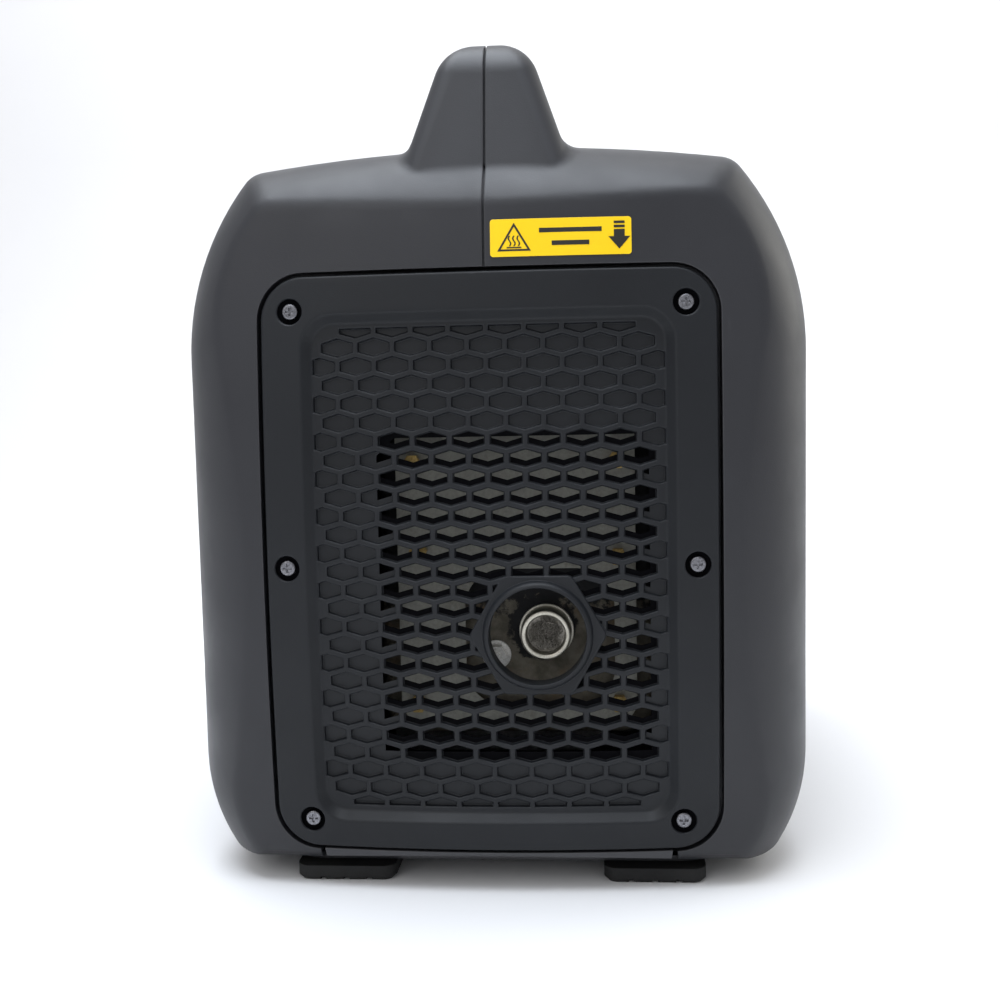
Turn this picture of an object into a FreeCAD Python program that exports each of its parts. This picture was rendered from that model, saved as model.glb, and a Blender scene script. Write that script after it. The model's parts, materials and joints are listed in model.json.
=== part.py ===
import FreeCAD, Part
import functools
import math
import os
from FreeCAD import Vector

# Portable inverter generator with a two-shell suitcase casing. Millimetres.
# X runs across the machine, Y from the exhaust end (-Y) to the control end (+Y), and Z up from the
# floor under the rubber feet. The two shells meet on the plane X = 0.

# ------------------------------------------------------------------ driving dimensions: casing
overall_length = 440.0
overall_width = 323.0
overall_height = 428.0
foot_height = 8.0
wall = 3.0
handle_rise = 51.0            # handle top above the crown of the shoulders
handle_top_half = 20.5
handle_flare = 0.339          # the handle's flanks lean out by this much per unit of height
corner_depth = 59.6           # length of the rounded ends, along Y
face_bow_radius_x = 770.0     # the end faces bulge a little, both ways
face_bow_radius_z = 1500.0
fold_radius = 15.0            # soft fold where the bowed ends meet the sides
root_radius = 12.0            # where the handle grows out of the casing
recess_depth = 5.0            # grille field below the frame around it
boss_proud = 4.0              # exhaust boss above the grille field
seam_width = 1.2
seam_depth = 1.4

# ------------------------------------------------------------------ driving dimensions: end covers
cover_side_margin = 49.5      # casing side to cover edge
cover_top_margin = 67.0       # casing crown to cover top
cover_bottom = 22.0
cover_corner = 21.5
cover_gap = 2.0
cover_wall = 3.0
flange_depth = 21.0           # casing end to the screw flange
flange_width = 22.0
field_side_margin = 24.6      # cover edge to the recessed field
field_top_margin = 23.0
field_bottom_margin = 18.5
field_corner = 12.0
screw_radius = 2.4
screw_head_radius = 4.1
screw_head_height = 2.4
counterbore_radius = 6.35
counterbore_depth = 3.6
post_radius = 7.8

# ------------------------------------------------------------------ driving dimensions: grille
cell_pitch_x = 18.5
cell_pitch_z = 9.25
cell_width = 15.8
cell_height = 9.1
cell_side = 4.5
pocket_depth = 2.5
window_left = -56.0
window_right = 79.0
window_bottom = 68.7
window_top = 230.5
window_chamfer = 9.0
boss_x = 23.0
boss_z = 132.0
boss_across_flats = 59.0
boss_hole_radius = 24.0

# ------------------------------------------------------------------ driving dimensions: handle and well
grip_thickness = 26.0
grip_half_width = 20.0
finger_gap_length = 168.0
well_half_width = 64.0
well_half_length = 121.0
well_depth = 25.0

# ------------------------------------------------------------------ driving dimensions: engine
crank_z = 112.0
cylinder_y = -73.0
bore_radius = 24.3
stroke = 43.0
rod_length = 78.0
journal_radius = 9.95
running_gap = 0.05
web_radius = 31.0
crankcase_wall = 5.0
crankcase_left = -66.0
crankcase_right = 56.0
crankcase_front = -118.0
crankcase_rear = -28.0
crankcase_bottom = 45.0
crankcase_top = 162.0
gear_module = 1.25
crank_teeth = 20
cam_teeth = 40
rotor_radius = 70.0
shroud_radius = 81.0
pulley_radius = 42.0
rope_radius = 2.0
tip_x = 26.2
tip_z = 129.0
tip_radius = 12.8
tip_wall = 3.0
collar_wall = 2.6             # round collar standing on the hexagonal boss
cap_radius = 28.0
cap_y = 50.0

# ------------------------------------------------------------------ driving dimensions: side openings
door_front = -105.0
door_rear = 65.0
door_bottom = 66.0
door_top = 256.0
door_gap = 1.2
grip_length = 66.0
grip_height = 20.0
grip_depth = 17.0
pocket_margin = 9.0

# ------------------------------------------------------------------ derived places
half_length = overall_length / 2
half_width = overall_width / 2
casing_bottom = foot_height
crown = overall_height - handle_rise
apex = half_length + boss_proud - recess_depth + 2.0
bow_z = cover_bottom + (crown - cover_top_margin - cover_bottom) / 2
cover_half = half_width - cover_side_margin
cover_top = crown - cover_top_margin
flange_y = half_length - flange_depth
field_half = cover_half - field_side_margin
field_top = cover_top - field_top_margin
field_bottom = cover_bottom + field_bottom_margin
handle_bottom = overall_height - grip_thickness
well_floor = crown - well_depth
inside = half_width - wall
floor_inside = casing_bottom + wall


# ------------------------------------------------------------------ helpers
def box(x, y, z):
    size = [hi - lo for lo, hi in (x, y, z)]
    return Part.makeBox(size[0], size[1], size[2], Vector(x[0], y[0], z[0]))


def direction(axis):
    return {"X": Vector(1, 0, 0), "Y": Vector(0, 1, 0), "Z": Vector(0, 0, 1)}[axis]


def rod(axis, at, radius, length):
    """A round bar from the point at, along the positive axis."""
    return Part.makeCylinder(radius, length, Vector(*at), direction(axis))


def ring(axis, at, outer, inner, length):
    return rod(axis, at, outer, length).cut(rod(axis, at, inner, length))


def cone(axis, at, radius_start, radius_end, length):
    return Part.makeCone(radius_start, radius_end, length, Vector(*at), direction(axis))


def join(shapes):
    return shapes[0].multiFuse(shapes[1:]).removeSplitter() if len(shapes) > 1 else shapes[0]


def without(shape, tools):
    return shape.cut(Part.makeCompound(tools)) if len(tools) > 1 else shape.cut(tools[0])


def mirrored(shape, axis):
    return shape.mirror(Vector(0, 0, 0), direction(axis))


def in_space(axis, a, b, depth):
    """A drawing point (a, b), in the plane across axis, set at depth along that axis."""
    return {"X": Vector(depth, a, b), "Y": Vector(a, depth, b), "Z": Vector(a, b, depth)}[axis]


def rounded_corner(before, corner, after, radius):
    """Start, middle and end of the arc that rounds one corner of an outline."""
    c = Vector(*corner[:2], 0)
    u = (Vector(*before[:2], 0) - c).normalize()
    v = (Vector(*after[:2], 0) - c).normalize()
    half = u.getAngle(v) / 2
    start = c + u * (radius / math.tan(half))
    end = c + v * (radius / math.tan(half))
    centre = c + (u + v).normalize() * (radius / math.sin(half))
    middle = centre + (c - centre).normalize() * radius
    return start, middle, end


def outline(axis, corners, depth):
    """A closed wire through corners, each (a, b) or (a, b, radius)."""
    edges = []
    ends = []
    for i, corner in enumerate(corners):
        radius = corner[2] if len(corner) > 2 else 0
        if radius:
            start, middle, end = rounded_corner(corners[i - 1], corner, corners[(i + 1) % len(corners)], radius)
            points = [in_space(axis, p.x, p.y, depth) for p in (start, middle, end)]
            ends.append((points[0], points[2]))
            edges.append(Part.Arc(*points).toShape())
        else:
            point = in_space(axis, corner[0], corner[1], depth)
            ends.append((point, point))
            edges.append(None)
    chain = []
    for i, edge in enumerate(edges):
        if edge:
            chain.append(edge)
        start, end = ends[i][1], ends[(i + 1) % len(ends)][0]
        if start.distanceToPoint(end) > 1e-6:
            chain.append(Part.makeLine(start, end))
    return Part.Wire(chain)


def prism(axis, corners, span):
    face = Part.Face(outline(axis, corners, span[0]))
    return face.extrude(direction(axis) * (span[1] - span[0]))


def rectangle(a, b, radius=0.0):
    corners = [(a[0], b[0]), (a[1], b[0]), (a[1], b[1]), (a[0], b[1])]
    return [(p, q, radius) if radius else (p, q) for p, q in corners]


def rounded_block(axis, a, b, span, radius):
    return prism(axis, rectangle(a, b, radius), span)


def tube_path(points, share=0.45):
    """Straight runs joined by tangent arcs."""
    places = [Vector(*p) for p in points]
    edges = []
    last = places[0]
    for i in range(1, len(places) - 1):
        before, corner, after = places[i - 1], places[i], places[i + 1]
        u = (before - corner).normalize()
        v = (after - corner).normalize()
        half = u.getAngle(v) / 2
        setback = share * min(before.distanceToPoint(corner), after.distanceToPoint(corner))
        radius = setback * math.tan(half)
        centre = corner + (u + v).normalize() * (radius / math.sin(half))
        middle = centre + (corner - centre).normalize() * radius
        start = corner + u * setback
        end = corner + v * setback
        edges.append(Part.makeLine(last, start))
        edges.append(Part.Arc(start, middle, end).toShape())
        last = end
    edges.append(Part.makeLine(last, places[-1]))
    return Part.Wire(edges)


def tube(points, radius):
    path = tube_path(points)
    start = Vector(*points[0])
    heading = Vector(*points[1]) - start
    profile = Part.Wire(Part.makeCircle(radius, start, heading))
    return path.makePipeShell([profile], True, False)


# ------------------------------------------------------------------ casing surfaces
def casing_section(y, tuck, inset):
    """The casing's outline at one Y. tuck is 0 at the widest section and grows towards the ends."""
    half = half_width - 70.0 * tuck - inset
    top = crown - 64.0 * tuck - inset
    bottom = casing_bottom + 17.0 * tuck + inset
    shoulder_radius = 148.0 - 135.0 * tuck - inset
    lower_radius = 95.0 - 78.0 * tuck - inset
    top_corner = 14.0 + 10.0 * tuck - inset
    bottom_corner = 10.0 - inset
    side_high = crown - 107.0 + 20.0 * tuck
    side_low = casing_bottom + 54.0 - 17.0 * tuck
    corner_z = crown - 22.0 - 74.0 * tuck

    rise = math.asin((corner_z - side_high) / (shoulder_radius - top_corner))
    corner_x = half - shoulder_radius + (shoulder_radius - top_corner) * math.cos(rise)
    drop = top - corner_z
    crown_radius = (corner_x ** 2 + drop ** 2 - top_corner ** 2) / (2 * (drop - top_corner))
    lean = math.asin(corner_x / (crown_radius - top_corner))
    fall = math.asin((side_low - bottom - bottom_corner) / (lower_radius - bottom_corner))
    foot_x = half - lower_radius + (lower_radius - bottom_corner) * math.cos(fall)

    def on_arc(centre_x, centre_z, radius, angle):
        return centre_x + radius * math.cos(angle), centre_z + radius * math.sin(angle)

    up = math.pi / 2
    arcs = [(corner_x, corner_z, top_corner, up - lean, rise),
            (half - shoulder_radius, side_high, shoulder_radius, rise, 0.0),
            (half - lower_radius, side_low, lower_radius, 0.0, -fall),
            (foot_x, bottom + bottom_corner, bottom_corner, -fall, -up)]
    right = []
    for centre_x, centre_z, radius, start, end in arcs:
        right.append([on_arc(centre_x, centre_z, radius, a) for a in (start, (start + end) / 2, end)])

    def space(x, z):
        return Vector(x, y, z)

    def arc_edge(points, flip):
        places = [space(-x if flip else x, z) for x, z in points]
        return Part.Arc(*(reversed(places) if flip else places)).toShape()

    first = right[0][0]
    crown_edge = Part.Arc(space(-first[0], first[1]), space(0, top), space(*first)).toShape()
    edges = [crown_edge, arc_edge(right[0], False), arc_edge(right[1], False)]
    edges.append(Part.makeLine(space(*right[1][2]), space(*right[2][0])))
    edges += [arc_edge(right[2], False), arc_edge(right[3], False)]
    edges.append(Part.makeLine(space(*right[3][2]), space(-right[3][2][0], right[3][2][1])))
    edges += [arc_edge(right[3], True), arc_edge(right[2], True)]
    edges.append(Part.makeLine(space(-right[2][0][0], right[2][0][1]), space(-right[1][2][0], right[1][2][1])))
    edges += [arc_edge(right[1], True), arc_edge(right[0], True)]
    return Part.Wire(edges)


@functools.lru_cache(maxsize=None)
def bowed_limit(inset):
    """Everything behind the bowed surface of the exhaust end, inset below it."""
    front = -apex + inset
    axis_y = -apex + face_bow_radius_x
    low, high = bow_z - 400.0, bow_z + 400.0
    sag = face_bow_radius_z - math.sqrt(face_bow_radius_z ** 2 - 400.0 ** 2)
    points = [Vector(0, front + sag, low), Vector(0, front, bow_z), Vector(0, front + sag, high)]
    edges = [Part.Arc(*points).toShape()]
    edges.append(Part.makeLine(points[2], Vector(0, axis_y, high)))
    edges.append(Part.makeLine(Vector(0, axis_y, high), Vector(0, axis_y, low)))
    edges.append(Part.makeLine(Vector(0, axis_y, low), points[0]))
    return Part.Face(Part.Wire(edges)).revolve(Vector(0, axis_y, 0), Vector(0, 0, 1), 360)


def bulge(x, z):
    """Depth of the bowed end surface below its middle."""
    return x ** 2 / (2 * face_bow_radius_x) + (z - bow_z) ** 2 / (2 * face_bow_radius_z)


def on_bowed_end(point):
    return abs(abs(point.y) - apex + bulge(point.x, point.z)) < 0.05


@functools.lru_cache(maxsize=None)
def casing_solid(inset):
    widest_y = half_length - corner_depth - 2.4
    sections = []
    for degrees in (12, 25, 40, 55, 72, 90):
        angle = math.radians(degrees)
        sections.append(casing_section(-widest_y - corner_depth * math.cos(angle), 1 - math.sin(angle), inset))
    front = Part.makeLoft(sections, True, False)
    middle = Part.Face(casing_section(-widest_y, 0.0, inset)).extrude(Vector(0, 2 * widest_y, 0))
    blank = join([middle, front, mirrored(front, "Y")])
    limit = bowed_limit(inset)
    solid = blank.common(limit).common(mirrored(limit, "Y"))
    return solid.makeFillet(fold_radius, end_folds(solid)) if inset == 0 else solid


def end_folds(solid):
    """Edges where the bowed ends meet the sides."""
    folds = []
    for edge in solid.Edges:
        middle = edge.valueAt((edge.FirstParameter + edge.LastParameter) / 2)
        if on_bowed_end(middle) and on_bowed_end(edge.Vertexes[0].Point):
            folds.append(edge)
    return folds


def cover_prism(margin, span, end=-1):
    """The end covers' outline, margin outside their edge, between two depths inside the casing's end."""
    reach = sorted(end * (half_length - depth) for depth in span)
    corner = cover_corner + margin
    return rounded_block("Y", (-cover_half - margin, cover_half + margin),
                         (cover_bottom - margin, cover_top + margin), reach, corner)


def field_prism(margin, span, end=-1):
    reach = sorted(end * (half_length - depth) for depth in span)
    return rounded_block("Y", (-field_half - margin, field_half + margin),
                         (field_bottom - margin, field_top + margin), reach, field_corner + margin)


# ------------------------------------------------------------------ screw places on the end covers
def cover_screw_places():
    top, bottom = cover_top - 17.0, cover_bottom + 14.3
    half = cover_half - 10.5
    corners = [(s * (half - 4.5), top) for s in (-1, 1)] + [(s * (half - 7.5), bottom) for s in (-1, 1)]
    return corners + [(s * half, bow_z) for s in (-1, 1)]


def face_y(x, z, inset=0.0):
    """Y of the bowed exhaust-end surface, inset below it."""
    return -apex + inset + bulge(x, z)


# ------------------------------------------------------------------ the two shells
def handle_solid():
    """The long fin that the grip is cut from, its ends leaning and rounded."""
    low, high = crown - 60.0, overall_height
    foot = handle_top_half + (high - low) * handle_flare
    section = [(-foot, low), (-handle_top_half, high, 24), (handle_top_half, high, 24), (foot, low)]
    hump = prism("Y", section, (-half_length, half_length))
    near, far = half_length - 12, half_length - 38
    side = [(-near, low), (-far, high, 24), (far, high, 24), (near, low)]
    hump = hump.common(prism("X", side, (-foot, foot)))
    ends = [e for e in hump.Edges if abs(e.CenterOfMass.y) > far - 12 and e.CenterOfMass.z > low + 1]
    return hump.makeFillet(root_radius, ends)


def outer_body():
    """Casing and handle in one, with the handle's root blended in."""
    body, handle = casing_solid(0), handle_solid()
    whole = body.fuse(handle)
    roots = []
    for edge in whole.Edges:
        middle = Part.Vertex(edge.valueAt((edge.FirstParameter + edge.LastParameter) / 2))
        if all(part.Shells[0].distToShape(middle)[0] < 1e-3 for part in (body, handle)):
            roots.append(edge)
    return whole.makeFillet(root_radius, roots)


def well_cut():
    """The hollow under the grip, open on both sides of it."""
    top = overall_height + 10
    scoop = [(grip_half_width, -finger_gap_length / 2, 30), (well_half_width, -well_half_length, 12),
             (well_half_width, well_half_length, 12), (grip_half_width, finger_gap_length / 2, 30)]
    right = prism("Z", scoop, (well_floor, top))
    under = rounded_block("X", (-finger_gap_length / 2, finger_gap_length / 2),
                          (well_floor - 14, handle_bottom), (-grip_half_width - 2, grip_half_width + 2), 13)
    under = under.common(box((-60, 60), (-150, 150), (well_floor, top)))
    return join([right, mirrored(right, "X"), under])


def cavity():
    """The room inside the casing, less the blocks that line the well and the side pocket."""
    room = casing_solid(wall)
    liner = rounded_block("Z", (-well_half_width - wall, well_half_width + wall),
                          (-well_half_length - wall, well_half_length + wall),
                          (well_floor - wall, overall_height), 15)
    pocket = rounded_block("X", pocket_span("y", wall), pocket_span("z", wall),
                           (half_width - grip_depth - wall - 3, half_width + 5), 8 + wall)
    return without(room, [liner, pocket])


def pocket_span(across, extra):
    centre, size = {"y": (pulley_y, grip_length), "z": (rope_z, grip_height)}[across]
    reach = size / 2 + pocket_margin + extra
    return centre - reach, centre + reach


def flange_frame():
    """The wall and screw flange behind one end cover's edge."""
    edge = cover_gap + wall
    block = cover_prism(edge, (6.0, flange_depth + wall))
    opening = cover_prism(cover_gap, (0.0, flange_depth))
    window = cover_prism(-flange_width + cover_gap, (flange_depth - 1, flange_depth + wall + 1))
    holes = [rod("Y", (x, -half_length, z), screw_radius + running_gap, 60) for x, z in cover_screw_places()]
    return without(block, [opening, window] + holes)


def tray_notch():
    """Gap in the casing below an end cover, where the base tray shows."""
    half = cover_half - 21.5
    corners = [(-half - 2.5, -1), (half + 2.5, -1), (half, cover_bottom + 2), (-half, cover_bottom + 2)]
    return prism("Y", corners, (-half_length - 10, -half_length + 36))


def tank_shelves():
    reach = tank_half_x + 3
    blank = casing_solid(wall / 2)
    return [box((reach, inside), (y - 8, y + 8), (tank_seam - 5, tank_seam)).common(blank) for y in (-70, 70)]


def whole_casing():
    outer = outer_body()
    opening = cover_prism(cover_gap, (-10, flange_depth))
    notch = tray_notch()
    skin = without(outer.cut(cavity()), [opening, mirrored(opening, "Y"), notch, mirrored(notch, "Y"), well_cut()])
    frame = flange_frame().common(casing_solid(0)).cut(notch)
    casing = join([skin, frame, mirrored(frame, "Y")])
    screw_holes = [rod("Z", (x, y, 0), screw_radius + running_gap, 30) for x, y in base_screw_places()]
    tray_hole = rounded_block("Z", (-tray_half_x - 0.6, tray_half_x + 0.6),
                              (-half_length + 30, half_length - 30), (0, floor_inside + 1), 20)
    seam_skin = outer.cut(casing_solid(seam_depth)).common(
        box((-seam_width / 2, seam_width / 2), (-half_length, half_length), (0, crown - 14)))
    return without(casing, [tray_hole, seam_skin, handle_seam()] + screw_holes)


def handle_seam():
    """Groove along the joint, over the handle's ends and top."""
    low, high = crown - 14, overall_height - seam_depth
    near, far = half_length - 12 - seam_depth, half_length - 38 - seam_depth
    lean = (near - far) / 60.0 / (1 + handle_rise / 60.0)
    start = near - lean * (low - crown + 60.0)
    core = prism("X", [(-start, low), (-far, high, 24), (far, high, 24), (start, low)], (-5, 5))
    strip = box((-seam_width / 2, seam_width / 2), (-half_length, half_length), (low, overall_height + 1))
    return strip.cut(core)


def make_left_shell(casing):
    """Left half, with the doorway to the air cleaner and the lip that the door closes on."""
    half = casing.common(box((-half_width - 5, 0), (-half_length - 5, half_length + 5), (0, overall_height + 5)))
    doorway = rounded_block("X", (door_front - door_gap, door_rear + door_gap),
                            (door_bottom - door_gap, door_top + door_gap),
                            (-half_width - 5, -inside + 0.2), 14 + door_gap)
    lip = rounded_block("X", (door_front - 8, door_rear + 8), (door_bottom - 8, door_top + 8),
                        (-inside, -inside + wall), 20)
    lip = lip.cut(rounded_block("X", (door_front + 8, door_rear - 8), (door_bottom + 8, door_top - 8),
                                (-inside - 1, -inside + wall + 1), 12))
    lip = without(lip, [rod("X", (-inside - 1, latch_y, latch_z), latch_stem + 0.8, 10)]
                  + [box((-inside - 1, -inside + wall + 1), (y - 9, y + 9), (door_bottom - 1, door_bottom + 9))
                     for y in hinge_places()])
    shelves = [mirrored(shelf, "X") for shelf in tank_shelves()]
    return join([half.cut(doorway), lip] + shelves)


def make_right_shell(casing):
    """Right half, with the pocket for the pull grip and the rope's eye."""
    half = casing.common(box((0, half_width + 5), (-half_length - 5, half_length + 5), (0, overall_height + 5)))
    pocket = rounded_block("X", pocket_span("y", 0), pocket_span("z", 0),
                           (half_width - grip_depth - 3, half_width + 5), 8)
    eye = rod("X", (half_width - grip_depth - 10, pulley_y, rope_z), rope_radius + 1.2, 20)
    slots = [rounded_block("X", (slot_y - 3, slot_y + 3), (150, 230), (inside - 2, half_width + 5), 2.9)
             for slot_y in range(-100, 1, 12)]
    return join([without(half, [pocket, eye] + slots)] + tank_shelves())


# ------------------------------------------------------------------ exhaust-end cover
def cell(x, z, half=0):
    """One stretched hexagon of the grille; half keeps only its upper (1) or lower (-1) part."""
    side, tip = cell_side / 2, cell_height / 2
    w = cell_width / 2
    corners = [(x - w, z - side), (x, z - tip), (x + w, z - side),
               (x + w, z + side), (x, z + tip), (x - w, z + side)]
    if half < 0:
        corners = [(x - w, z), (x - w, z - side), (x, z - tip), (x + w, z - side), (x + w, z)]
    if half > 0:
        corners = [(x - w, z), (x + w, z), (x + w, z + side), (x, z + tip), (x - w, z + side)]
    return corners


def grille_cells():
    """Outlines of all cells: rows are offset by half a pitch, and the first and last rows are halves."""
    rows = int((field_top - field_bottom - 2.0) / cell_pitch_z) + 1
    rows -= (rows + 1) % 2
    middle = bow_z - 2.2
    limit = field_half - 0.9
    cells = []
    for row in range(rows):
        z = middle + (rows // 2 - row) * cell_pitch_z
        offset = cell_pitch_x / 2 if row % 2 == 0 else 0.0
        half = -1 if row == 0 else 1 if row == rows - 1 else 0
        count = int(2 * limit / cell_pitch_x) + 2
        for column in range(-count, count + 1):
            x = offset + column * cell_pitch_x
            near, far = abs(x) - cell_width / 2, abs(x) + cell_width / 2
            if far < limit or (near < limit - 5 and not half):
                cells.append(cell(x, z, half))
    return cells


def in_boss(corners):
    """True where a cell reaches under the exhaust boss."""
    reach = boss_across_flats / 2 + 1.4
    return any(abs(z - boss_z) < reach and abs(x - boss_x) * math.cos(math.pi / 6)
               + abs(z - boss_z) * math.sin(math.pi / 6) < reach for x, z in corners)


def boss_prism(grow, span):
    """Flat-topped hexagon round the exhaust."""
    r = (boss_across_flats / 2 + grow) / math.cos(math.pi / 6)
    corners = [(boss_x + r * math.cos(math.radians(60 * i)), boss_z + r * math.sin(math.radians(60 * i)), 4)
               for i in range(6)]
    return prism("Y", corners, span)


def make_exhaust_cover():
    limit_front = bowed_limit(0)
    body = cover_prism(0, (-5, flange_depth)).common(limit_front)
    recess = field_prism(0, (-5, 30)).cut(bowed_limit(recess_depth))
    body = body.cut(recess)
    rim = [e for e in body.Edges if on_field_rim(e)]
    body = body.makeChamfer(recess_depth * 0.96, rim)
    hollow = cover_prism(-cover_wall, (-5, flange_depth + 1)).common(bowed_limit(recess_depth + cover_wall))
    edge_hollow = cover_prism(-cover_wall, (-5, flange_depth + 1)).cut(
        field_prism(recess_depth + cover_wall, (-10, 40))).common(bowed_limit(cover_wall))
    body = without(body, [hollow, edge_hollow])
    posts, holes = [], []
    for x, z in cover_screw_places():
        top = face_y(x, z)
        posts.append(rod("Y", (x, top + 1, z), post_radius, -flange_y - top - 1).common(
            cover_prism(-0.5, (-5, flange_depth))))
        holes.append(rod("Y", (x, top - 5, z), counterbore_radius, 5 + counterbore_depth))
        holes.append(rod("Y", (x, top, z), screw_radius + 0.2, 40))
    body = without(join([body] + posts), holes)
    cells = [c for c in grille_cells() if not in_boss(c)]
    field = field_prism(-0.9, (-20, 60))
    prisms = Part.makeCompound([prism("Y", c, (-half_length - 8, -half_length + 40)) for c in cells]).common(field)
    pockets = prisms.cut(bowed_limit(recess_depth + pocket_depth))
    window = [(window_left, window_bottom), (window_right, window_bottom), (window_right, window_top),
              (window_left + window_chamfer, window_top), (window_left, window_top - window_chamfer)]
    through = prisms.common(prism("Y", window, (-half_length - 8, -half_length + 40)))
    body = body.cut(pockets).cut(through)
    boss = boss_prism(0, (-half_length + boss_proud - 0.6, -half_length + boss_proud + 6.5)).fuse(
        rod("Y", (boss_x, -half_length, boss_z), boss_hole_radius + collar_wall, boss_proud + 6.5))
    bore = rod("Y", (boss_x, -half_length - 5, boss_z), boss_hole_radius, 60)
    lead_in = cone("Y", (boss_x, -half_length - 0.01, boss_z), boss_hole_radius + 1.2, boss_hole_radius, 1.2)
    return without(join([body, boss]), [bore, lead_in])


def on_field_rim(edge):
    """Edges where the frame's bowed surface meets the recess wall."""
    for vertex in edge.Vertexes:
        p = vertex.Point
        if abs(p.y - face_y(p.x, p.z)) > 0.3:
            return False
        if abs(p.x) > field_half + 0.5 or not field_bottom - 0.5 < p.z < field_top + 0.5:
            return False
    return True


def cover_screw(x, z, end=-1):
    """Pan-head screw with a cross recess, sunk in a counterbore."""
    seat = face_y(x, z) + counterbore_depth
    head = rod("Y", (x, seat - screw_head_height, z), screw_head_radius, screw_head_height)
    head = head.makeFillet(1.2, [e for e in head.Edges if abs(e.CenterOfMass.y - seat + screw_head_height) < 0.01
                                 and len(e.Vertexes) == 1])
    cross = [box((x - 2.2, x + 2.2), (seat - 5, seat - 1.1), (z - 0.55, z + 0.55)),
             box((x - 0.55, x + 0.55), (seat - 5, seat - 1.1), (z - 2.2, z + 2.2))]
    shank = rod("Y", (x, seat - 0.5, z), screw_radius, -flange_y + 6 - seat + 0.5)
    screw = join([head, shank]).cut(Part.makeCompound(cross))
    return screw if end < 0 else mirrored(screw, "Y")


def base_screw(x, y):
    """The same screw, up through a shell's floor into the tray's lip."""
    head = rod("Z", (x, y, casing_bottom - screw_head_height), screw_head_radius, screw_head_height)
    head = head.makeFillet(1.2, [e for e in head.Edges if abs(e.CenterOfMass.z - casing_bottom + screw_head_height)
                                 < 0.01 and len(e.Vertexes) == 1])
    low = casing_bottom - screw_head_height - 1
    cross = [box((x - 2.2, x + 2.2), (y - 0.55, y + 0.55), (low, low + 2.3)),
             box((x - 0.55, x + 0.55), (y - 2.2, y + 2.2), (low, low + 2.3))]
    shank = rod("Z", (x, y, casing_bottom - 0.5), screw_radius, 2 * wall + 2)
    return join([head, shank]).cut(Part.makeCompound(cross))


def base_screw_places():
    return [(sx * (tray_half_x + 5), y) for sx in (-1, 1) for y in (-half_length + 80, 0, half_length - 80)]


def make_casing_screws():
    """Six screws in each end cover and six in the base."""
    ends = [cover_screw(x, z, end) for end in (-1, 1) for x, z in cover_screw_places()]
    return Part.makeCompound(ends + [base_screw(x, y) for x, y in base_screw_places()])


def make_caution_plate():
    """Small plate beside the seam, above the cover."""
    plate = rounded_block("Y", (3.4, 71.2), (cover_top + 6.2, cover_top + 24.2),
                          (-half_length - 5, -half_length + 30), 1.5)
    skin = casing_solid(-0.4).cut(casing_solid(0))
    return plate.common(skin)


# ------------------------------------------------------------------ control-end cover and its controls
def panel_face():
    return half_length - 14.0


def make_control_panel():
    limit = mirrored(bowed_limit(0), "Y")
    body = cover_prism(0, (-5, flange_depth), 1).common(limit)
    recess = rounded_block("Y", (-field_half, field_half), (field_bottom, field_top),
                           (panel_face(), half_length + 5), field_corner)
    hollow = cover_prism(-cover_wall, (14.0 + cover_wall, flange_depth + 1), 1)
    edge_hollow = cover_prism(-cover_wall, (-5, flange_depth + 1), 1).cut(
        field_prism(cover_wall, (-10, 40), 1)).common(mirrored(bowed_limit(cover_wall), "Y"))
    body = without(body, [recess, hollow, edge_hollow])
    posts, holes = [], []
    for x, z in cover_screw_places():
        top = -face_y(x, z)
        posts.append(rod("Y", (x, flange_y, z), post_radius, top - 1 - flange_y).common(
            cover_prism(-0.5, (-5, flange_depth), 1)))
        holes.append(rod("Y", (x, top - counterbore_depth, z), counterbore_radius, 5 + counterbore_depth))
        holes.append(rod("Y", (x, top - 40, z), screw_radius + 0.2, 40))
    collar = rod("Y", (reset_x, panel_face() - 0.5, reset_z), reset_radius + 3, 2.5)
    frame = rounded_block("Y", (eco_x - 13, eco_x + 13), (eco_z - 10, eco_z + 10),
                          (panel_face() - 0.5, panel_face() + 1.4), 2)
    return without(join([body, collar, frame] + posts), holes + panel_holes())


def through_panel(shape_radius, x, z, gap=0.3):
    return rod("Y", (x, panel_face() - 20, z), shape_radius + gap, 40)


def panel_holes():
    holes = [through_panel(dial_stem, dial_x, dial_z), through_panel(terminal_radius, ground_x, ground_z)]
    holes += [rounded_block("Y", (x - socket_half, x + socket_half),
                            (socket_z - socket_half, socket_z + socket_half),
                            (panel_face() - 20, panel_face() + 20), 5) for x in socket_places]
    holes.append(rounded_block("Y", (dc_x - 17, usb_x + 13), (dc_z - 12, dc_z + 12),
                               (panel_face() - 20, panel_face() + 20), 3))
    holes.append(rounded_block("Y", (eco_x - 10.2, eco_x + 10.2), (eco_z - 8.0, eco_z + 8.0),
                               (panel_face() - 20, panel_face() + 20), 1))
    holes.append(through_panel(reset_radius, reset_x, reset_z))
    holes += [through_panel(lamp_radius, x, lamp_z, 0) for x in lamp_places]
    slots = [rounded_block("Y", (-70 + 20 * i, -56 + 20 * i), (z - 2, z + 2),
                           (panel_face() - 20, panel_face() + 20), 1.9) for i in range(7)
             for z in (field_bottom + 8, field_bottom + 15)]
    return holes + slots


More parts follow.
